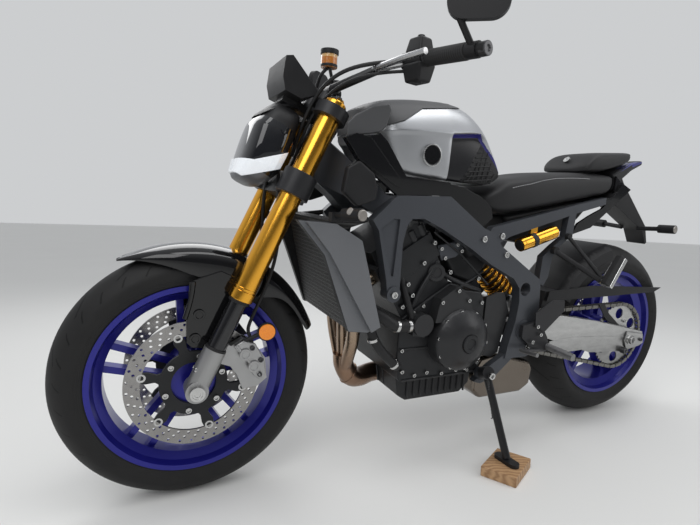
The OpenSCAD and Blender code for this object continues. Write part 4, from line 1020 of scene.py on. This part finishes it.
def disc(centre, y, outer, inner, rows, count, hole, thick):
    """A drilled ring; millimetres on the upright machine."""

    def bar(sides, radius, depth, spot):
        bpy.ops.mesh.primitive_cylinder_add(vertices=sides, radius=radius / 1000, depth=depth / 1000,
            location=(spot[0] / 1000, y / 1000, spot[1] / 1000), rotation=(math.pi / 2, 0, 0))
        return bpy.context.object

    made = bar(96, outer, thick, centre)
    pick(made)
    bpy.ops.object.transform_apply(location=True, rotation=True, scale=True)
    drills = [bar(72, inner, 40, centre)]
    for row, radius in enumerate(rows):
        for k in range(count):
            a = 2 * math.pi * (k + row / len(rows)) / count
            drills.append(bar(10, hole, 40, polar(centre, radius, a)))
    tool = join(drills)
    pick(tool)
    bpy.ops.object.transform_apply(location=True, rotation=True, scale=True)
    cut(made, tool)
    made.data.transform(LEAN)
    soften(made, 0, 1, 30, 30)
    return made


discs = []
carriers = []
studs = []
for s in (1, -1):
    discs.append(disc(FRONT_AXLE, s * 69.5, 149, 115, (121, 131.5, 142), 34, 3.4, 5))
    arms = []
    for a in around(6, 12):
        arm = plank([polar(FRONT_AXLE, r, a + t) for r, t in
            ((60, -0.34), (84, -0.09), (104, -0.13), (119, -0.09), (119, 0.09), (104, 0.13), (84, 0.13),
            (60, 0.40))],
            s * 63, s * 71.6, 0.0015, 2)
        arms.append(arm)
        x, z = polar(FRONT_AXLE, 114.5, a)
        studs.append(drum((x, s * 69.9, z), (0, s, 0), 10, 4.6, 0.8, 24,
            hollow=5.5, sink=1.5))
    arms.append(disc(FRONT_AXLE, s * 67.2, 76, 50, (), 1, 1, 9.2))
    carriers += arms
add(discs, ground, "drilled_front_discs", "front_wheel", "bright_steel", "front_discs")
add(carriers, black_rail, "front_disc_carriers", "front_wheel", "matte_black")
add(studs, bright_steel, "front_disc_bobbins", "front_wheel", "bright_steel")
rear_ring = disc(REAR_AXLE, -87.4, 122, 78, (90, 100, 111), 24, 3.4, 6)
webs = []
for a in around(5):
    web = plank([polar(REAR_AXLE, r, a + t) for r, t in
        ((30, -0.5), (80, -0.16), (80, 0.16), (30, 0.5))], -84.6, -90.2, 0.001, 1)
    webs.append(web)
add([rear_ring] + webs, ground, "drilled_rear_disc", "rear_wheel", "bright_steel", "rear_disc")
bolts("disc_bolts", [(x, s * 71.5, z, (0, s, 0)) for x, z in
    (polar(FRONT_AXLE, 66, a) for a in around(6, 40)) for s in (1, -1)], 7, 6, bright_steel, "front_wheel",
    "bright_steel")


# Fork. Gold anodised outer tubes in two black clamps, with a turned collar and dust seal at the foot,
# black coated inner tubes, and grey cast feet that hold the axle and the calipers.
head_x, rake_cos, rake_sin = 823, 0.9085, 0.4179


def steer(along, y, high):
    """A place on the steered part, by its own straight axis, on the upright machine."""
    return (head_x + along * rake_cos - high * rake_sin, y, along * rake_sin + high * rake_cos)


axis = (-rake_sin, 0, rake_cos)
fork_ahead, fork_side = 27.2, 105
black_tube = Finish("black_coated_tube", (0.012, 0.012, 0.014), 0.14, 0.5, Coat_Weight=0.5)
black_tube.worn((0.03, 0.03, 0.032), 20.0, 0.5, 0.08)
cast_grey = sand_cast(Finish("grey_casting", (0.33, 0.33, 0.33), 0.40, 0.85), 640)
cast_grey.worn((0.43, 0.43, 0.43), 16.0, 0.5)
dress("fork_tubes", gold, 0.0012, 2, smooth=50)
dress("fork_sliders", black_tube, 0, smooth=50)
dress("fork_feet", cast_grey, 0.004, 3)
dress("upper_clamp", clamp_black, 0.004, 3)
dress("lower_clamp", clamp_black, 0.005, 3)
dress("front_axle", bright_steel, 0.002)
add([drum((FRONT_AXLE[0], s * 137, FRONT_AXLE[1]), (0, s, 0), 17, 5, 1.2, 36, hollow=11, sink=3)
    for s in (1, -1)], bright_steel, "axle_end_rings", "front_end", "bright_steel")
add([drum(steer(fork_ahead, s * fork_side, z), axis, r, h, 1.2) for s in (1, -1)
    for z, r, h in ((552, 28.6, 22), (568, 27.6, 5), (1030, 27.4, 6))], gold, "fork_collars", "front_end",
    "gold_anodised")
add([drum(steer(fork_ahead, s * fork_side, 537), axis, 24.5, 9, 2) for s in (1, -1)]
    + [drum(steer(fork_ahead, s * fork_side, 416), axis, 24.5, 10, 2) for s in (1, -1)], hose_rubber,
    "dust_seals", "front_end", "rubber")
add([drum(steer(fork_ahead, s * fork_side, 1047.5), axis, 18, 9, 1.5, 6) for s in (1, -1)]
    + [drum(steer(fork_ahead, s * fork_side, 1054), axis, 8, 8, 1.5, 20, hollow=5, sink=2)
    for s in (1, -1)], (black_steel, gold), "fork_caps", "front_end", "bright_steel",
    choose=lambda p, n: 0 if p.z > 965 else 1)
places = [(*steer(fork_ahead + d, s * 132.5, z), (0, s, 0)) for s in (1, -1)
    for z, d in ((846, 12), (818, 12), (1014.7, 12))]
places += [(*steer(46, s * (fork_side + d), 360), (rake_cos, 0, rake_sin)) for s in (1, -1) for d in (-9, 9)]
bolts("clamp_bolts", places, 6, 6, bright_steel, "front_end", "bright_steel")
# The reflectors' faint amber emission is painted light, a glow on a part that is no lamp; their facet pattern
# in colour and bump is real.
amber = Finish("amber_reflector", (0.85, 0.26, 0.01), 0.16, 0.0, Coat_Weight=0.6, Emission_Strength=0.12)
facets = amber.node("ShaderNodeTexVoronoi", {"feature": "DISTANCE_TO_EDGE"},
    {"Vector": amber.where(), "Scale": 520.0})
amber.feed("Base Color", amber.mix(facets, (0.62, 0.16, 0.004, 1), (1.0, 0.42, 0.02, 1)))
amber.feed("Emission Color", amber.mix(facets, (0.9, 0.25, 0.0, 1), (1.0, 0.45, 0.02, 1)))
amber.bump(facets, 0.4, 0.001)
add([drum((560, s * 116, 425), (0.1, s, 0), 22, 8, 2, 32) for s in (1, -1)]
    + [tube([(560, s * 112, 425), (590, s * 108, 412), (612, s * 102, 400)], 5, 3) for s in (1, -1)],
    matte_black, "reflector_holders", "front_end", "matte_black")
add([drum((560, s * 119.6, 425), (0.1, s, 0), 19, 5, 1.5, 32) for s in (1, -1)], amber, "fork_reflectors",
    "front_end", "amber")

# Front mudguard and calipers. A gloss black shell over the tyre on gloss black stays, and radial
# calipers in silver with black bolts, and the hoses and cables of the front end.
caliper_alloy = sand_cast(Finish("caliper_alloy", (0.42, 0.42, 0.42), 0.34, 0.9), 700)
caliper_alloy.worn((0.30, 0.30, 0.30), 30.0, 0.5)
sections = []
for turn, half, edge, low in ((60, 12, 320, 319), (65, 32, 315, 311), (72, 52, 306, 294),
    (82, 67, 300, 270), (93, 73, 298, 243),
    (104, 74, 298, 236), (114, 74, 298, 231), (124, 74.5, 298, 236), (130, 74, 298, 256),
    (136, 73, 298, 280), (146, 72, 298, 286),
    (159, 70, 299, 288)):
    a = math.radians(turn)
    half_section = [(0, 321), (0.4 * half, 320), (0.78 * half, (320 + edge) / 2 + 4), (half, edge),
        (half + 1.5, (edge + low) / 2), (half + 1, low)]
    whole = [(-y, r) for y, r in half_section[:0:-1]] + half_section
    spots = [(y, polar(FRONT_AXLE, r, a)) for y, r in whole]
    sections.append([(x, y, z) for y, (x, z) in spots])
count = len(sections[0])
mesh = bpy.data.meshes.new("mudguard")
mesh.from_pydata([Vector(p) / 1000 for row in sections for p in row], [],
    [(i * count + j, i * count + j + 1, (i + 1) * count + j + 1, (i + 1) * count + j)
     for i in range(len(sections) - 1) for j in range(count - 1)])
guard = bpy.data.objects.new("mudguard", mesh)
bpy.context.scene.collection.objects.link(guard)
edit(guard, bpy.ops.mesh.normals_make_consistent, inside=False)
apply(guard, "SOLIDIFY", thickness=0.003, offset=-1)
apply(guard, "SUBSURF", levels=2, render_levels=2)
guard.data.transform(LEAN)
pick(guard)
bpy.ops.object.shade_smooth_by_angle(angle=math.radians(55))
add(guard, gloss_black, "front_mudguard_shell", "front_end", "gloss_black", "front_mudguard")
stays = []
for s in (1, -1):
    stay = plank([(steer(a, 0, h)[0], steer(a, 0, h)[2])
        for a, h in ((69, 394), (85, 400), (108, 449), (140, 531), (87, 580),
        (6, 580), (14, 478), (22, 408))], s * 73, s * 78, 0.002, 2)
    stays.append(stay)
    for a, h in ((72, 416), (88, 470)):
        stays.append(drum(steer(a, s * 80, h), (0, s, 0), 13, 6, 2, 28, hollow=8, sink=2))
    fin = tube([steer(112, s * 77, 450), steer(118, s * 77, 500), steer(132, s * 77, 534)], 6, 3)
    stays.append(fin)
add(stays, gloss_black, "mudguard_stays", "front_end", "gloss_black")
dress("front_calipers", (caliper_alloy, clamp_black), 0.004, 3, choose=lambda p, n: abs(p.y) < 74)
bodies = []
for s in (1, -1):
    body = plank([(634, 392), (612, 404), (584, 396), (562, 356), (556, 318), (570, 304), (586, 318),
        (600, 350)], s * 103, s * 109, 0.004, 3)
    bodies.append(body)
    for k in range(3):
        bodies.append(tube([(628 - 22 * k, s * 109, 396 - 30 * k), (612 - 22 * k, s * 110, 372 - 30 * k)],
            3, 3))
add(bodies, caliper_alloy, "caliper_bodies", "front_end", "swingarm_silver")
pistons = []
marks = []
for s in (1, -1):
    for x, z in ((607, 372), (586, 341)):
        pistons.append(drum((x, s * 110, z), (0, s, 0), 14, 8, 2, 28, hollow=9, sink=2))
        marks.append((x - 16, s * 108, z + 14, (0, s, 0)))
    marks.append((572, s * 108.5, 320, (0, s, 0)))
add(pistons, caliper_alloy, "caliper_pistons", "front_end", "swingarm_silver")
bolts("caliper_bolts", marks, 6, 5, black_steel, "front_end", "bright_steel")
lines = []
for s in (1, -1):
    lines.append(tube([steer(66, s * 36, 862), steer(52, s * 66, 800), steer(-14, s * 82, 700),
        steer(-24, s * 88, 560),
        steer(-20, s * 92, 470), (594, s * 100, 416), (590, s * 104, 392)], 4.2, 3))
lines.append(tube([steer(-40, -210, 1172), steer(6, -160, 1130), steer(72, -80, 1040), steer(80, -40, 930),
    steer(66, -36, 862)],
    4.2, 3))
lines.append(tube([steer(-34, 214, 1168), steer(20, 176, 1136), steer(82, 116, 1096), steer(72, 56, 1000),
    steer(44, 20, 900)],
    4.5, 3))
lines.append(tube([steer(-62, 222, 1160), steer(-6, 190, 1128), steer(62, 124, 1084), steer(58, 50, 990),
    steer(34, 16, 900)],
    3.6, 3))
lines.append(tube([steer(-50, -226, 1164), steer(10, -180, 1122), steer(62, -112, 1070),
    steer(52, -40, 970), steer(30, -10, 900)],
    3.6, 3))
add(lines, hose_rubber, "hoses_and_cables", "front_end", "rubber")

# Handlebar. A black bar, ribbed rubber grips with end weights, switch boxes,
# alloy levers, the fluid pot and the mirrors on round stalks.
satin_black = Finish("satin_black_bar", (0.012, 0.012, 0.013), 0.36, 0.2, Specular_IOR_Level=0.35)
satin_black.worn((0.022, 0.022, 0.024), 16.0, 0.5)
dress("handlebar", satin_black, 0, smooth=50)
grip_rubber = Finish("grip_rubber", (0.012, 0.012, 0.013), 0.66, Specular_IOR_Level=0.3)
_, ry, rz = grip_rubber.upright()
rows = abs((ry * 190.0) % 1.0 - 0.5)
checks = abs((rz * 160.0) % 1.0 - 0.5)
grip_rubber.feed("Base Color", grip_rubber.mix((rows > 0.2), (0.010, 0.010, 0.010, 1),
    (0.026, 0.026, 0.027, 1)))
grip_rubber.bump((rows > 0.2) * 1.0 + checks * 0.4, 0.6, 0.0015)
dress("grips", grip_rubber, 0.002, 2, smooth=50)
lever_alloy = Finish("lever_alloy", (0.52, 0.52, 0.525), 0.26, 1.0)
lever_alloy.worn((0.38, 0.38, 0.385), 40.0, 0.5)
dress("bar_controls", (matte_black, lever_alloy), 0.003, 2,
    choose=lambda p, n: abs(p.y) > 176 and p.x > 306)
boxes = []
for s in (1, -1):
    for rise, size in ((27, (0.046, 0.048, 0.032)), (-30, (0.052, 0.056, 0.038))):
        x, y, z = steer(-53.7, s * 238.8, 1178.4)
        bpy.ops.mesh.primitive_cube_add(size=1, location=(x / 1000, y / 1000, (z + rise) / 1000),
            rotation=(0, 0, s * 0.22))
        box = bpy.context.object
        box.scale = size
        pick(box)
        bpy.ops.object.transform_apply(location=True, rotation=True, scale=True)
        choose_faces(box, lambda face: face.normal.z * rise > 0.5)
        bpy.ops.transform.resize(value=(0.72, 0.8, 1))
        bpy.ops.object.mode_set(mode="OBJECT")
        box.data.transform(LEAN)
        soften(box, 0.005, 3)
        boxes.append(box)
        boxes.append(drum((x + 4, y + s * 8, z + rise * 1.62), (0, 0, 1), 8, 6, 2, 20))
add(boxes, matte_black, "switch_boxes", "front_end", "matte_black")
add([drum(steer(-59.5, s * 262, 1179.7), (-0.24, s, 0),
    20, 6, 2, 36) for s in (1, -1)], grip_rubber, "grip_flanges", "front_end", "rubber")
add([drum(steer(-95, s * 400, 1187.7), (-0.24, s, 0),
    14, 16, 3, 32, hollow=6, sink=3) for s in (1, -1)], black_steel, "bar_end_weights", "front_end",
    "bright_steel")
fluid = Finish("amber_fluid_pot", (0.50, 0.20, 0.03), 0.22, 0.0, Coat_Weight=0.8)
px, _, pz = fluid.upright()
level = (pz > 1.128) * 0.8
fluid.feed("Base Color", fluid.mix(level, (0.42, 0.14, 0.015, 1), (0.62, 0.40, 0.16, 1)))
fluid.bump(abs((px * 260.0) % 1.0 - 0.5), 0.5, 0.001)
dress("brake_reservoir", (fluid, matte_black), 0.002, 2, choose=lambda p, n: 0 if p.z > 1100 else 1)
pot = steer(16, -150, 1204.7)
add([drum((pot[0], -150, pot[2] + z), (0, 0, 1), r, h, 1.8, 28) for z, r, h in ((42, 26, 14), (5, 24, 9))]
    + [tube([(pot[0] - 4, -150, pot[2] + 4), (pot[0] + 30, -140, pot[2] - 14),
    (pot[0] + 26, -170, pot[2] - 52)], 5, 3)], matte_black, "fluid_pot_lids", "front_end", "matte_black")
mirror_glass = Finish("mirror_glass", (0.75, 0.76, 0.77), 0.03, 1.0)
mirror_glass.worn((0.70, 0.71, 0.72), 20.0, 0.3, 0.02)


def mirror_face(p, n):
    """Glass on the faces that look back at the rider."""
    return abs(n.x + 0.584) < 0.02 and abs(abs(n.y) - 0.766) < 0.06


dress("mirrors", (matte_black, mirror_glass), 0.005, 3, choose=mirror_face)

# Headlight and dash. A black lamp shell with a dark glass front, a white running-light strip, a grey
# chin and a dark visor, and a slim display on a moulded back.
lamp_high = 831.7
lamp_rows = ((168, 66, 138, 50), (128, 64, 153, 74), (90, 62, 166, 88), (48, 62, 163, 96), (6, 62, 157, 92),
    (-27, 78, 151, 72), (-50, 96, 147, 36))
shell = []
for high, back, front, half in lamp_rows:
    ring = []
    for k in range(28):
        a = 2 * math.pi * k / 28
        c, s = (math.copysign(abs(v) ** 0.62, v) for v in (math.cos(a), math.sin(a)))
        ring.append(steer((back + front) / 2 + (front - back) / 2 * c, half * s, lamp_high + high))
    shell.append(ring)
def brow(i, j, m, n):
    """Creases around the lamp at its brow, its sill and its chin."""
    return {1: 0.7, 2: 0.92, 4: 0.92, 5: 0.7}.get(i, 0.0) if i == m else 0.0


lamp_shell = loft(shell, 2, brow)
lamp_shell.data.transform(LEAN)
pick(lamp_shell)
bpy.ops.object.shade_smooth_by_angle(angle=math.radians(50))


def lamp_face(p, n):
    high = -(p.x - head_x) * rake_sin + p.z * rake_cos - lamp_high
    along = (p.x - head_x) * rake_cos + p.z * rake_sin
    if high < -6 - abs(p.y) * 0.05:
        return 1
    return 2 if high > 112 or along < 84 else 0


lamp_glass = Finish("dark_lamp_glass", (0.006, 0.0065, 0.008), 0.05, 0.0, Specular_IOR_Level=0.4,
    Coat_Weight=0.4, Coat_Roughness=0.02)
lamp_glass.worn((0.02, 0.021, 0.024), 30.0, 0.5, 0.03)
add(lamp_shell, (lamp_glass, shroud_grey, matte_black), "headlight_shell", "front_end", "gloss_black",
    "headlight", choose=lamp_face)
peak = []
for along, high, half in ((70, 182, 40), (104, 176, 50), (138, 150, 60), (164, 112, 70)):
    peak.append([steer(along, y, lamp_high + high + drop)
        for y, drop in ((-half, -10), (-half * 0.6, 2), (0, 5), (half * 0.6, 2),
        (half, -10), (half - 5, -14), (0, 1), (-half + 5, -14))])
visor = loft(peak, 2, lambda i, j, m, n: 0.7 if i != m and j in (0, 4) else 0.0)
visor.data.transform(LEAN)
pick(visor)
bpy.ops.object.shade_smooth_by_angle(angle=math.radians(45))
add(visor, matte_black, "lamp_visor", "front_end", "matte_black")
running = Finish("white_running_strip", (0.80, 0.82, 0.84), 0.16, 0.0, Coat_Weight=1.0,
    Emission_Strength=0.35)
prisms = running.node("ShaderNodeTexVoronoi", {"feature": "DISTANCE_TO_EDGE"},
    {"Vector": running.where(), "Scale": 300.0})
running.feed("Emission Color", running.mix(prisms, (0.8, 0.85, 0.9, 1), (1.0, 1.0, 1.0, 1)))
running.feed("Base Color", running.mix(prisms, (0.62, 0.64, 0.67, 1), (0.86, 0.88, 0.90, 1)))
dress("headlamp_lens", running, 0.0015)
screen = Finish("display_glass", (0.006, 0.007, 0.009), 0.06, 0.0, Coat_Weight=1.0)
screen.worn((0.012, 0.013, 0.016), 12.0, 0.4, 0.03)
dress("dash", (matte_black, screen), 0.004, 3,
    choose=lambda p, n: (UPRIGHT.to_3x3() @ n).dot(Vector((-0.7, 0, 0.7))) > 0.9 and abs(p.y) < 66)

# Side stand. A black bent steel leg on a pivot bolt with a return spring, its foot on a small
# offcut of planed wood.
dress("side_stand", satin_black, 0.002)
bolts("stand_bolt", [(-70, 190, 272, side)], 10, 9, bright_steel, "side_stand", "bright_steel")
add(tube([(-64 - 12 * t + 6 * math.cos(2.4 * k), 186 + 26 * t + 6 * math.sin(2.4 * k), 262 - 110 * t)
    for k, t in
    [(k, k / 60) for k in range(61)]], 1.6, 2), black_steel, "stand_spring", "side_stand", "bright_steel")
wood = Finish("planed_wood", (0.40, 0.24, 0.12), 0.6)
bands = wood.node("ShaderNodeTexWave", {"wave_type": "BANDS", "bands_direction": "Y"},
    {"Vector": wood.where((1, 1, 2.5), (0, 0, 0.49)), "Scale": 22.0, "Distortion": 6.0, "Detail": 3.0})
wood.feed("Base Color", wood.mix(bands, (0.44, 0.27, 0.14, 1), (0.27, 0.15, 0.07, 1)))
wood.bump(bands, 0.2, 0.0008)
dress("stand_block", wood, 0.002)
bpy.data.objects.remove(bolt)
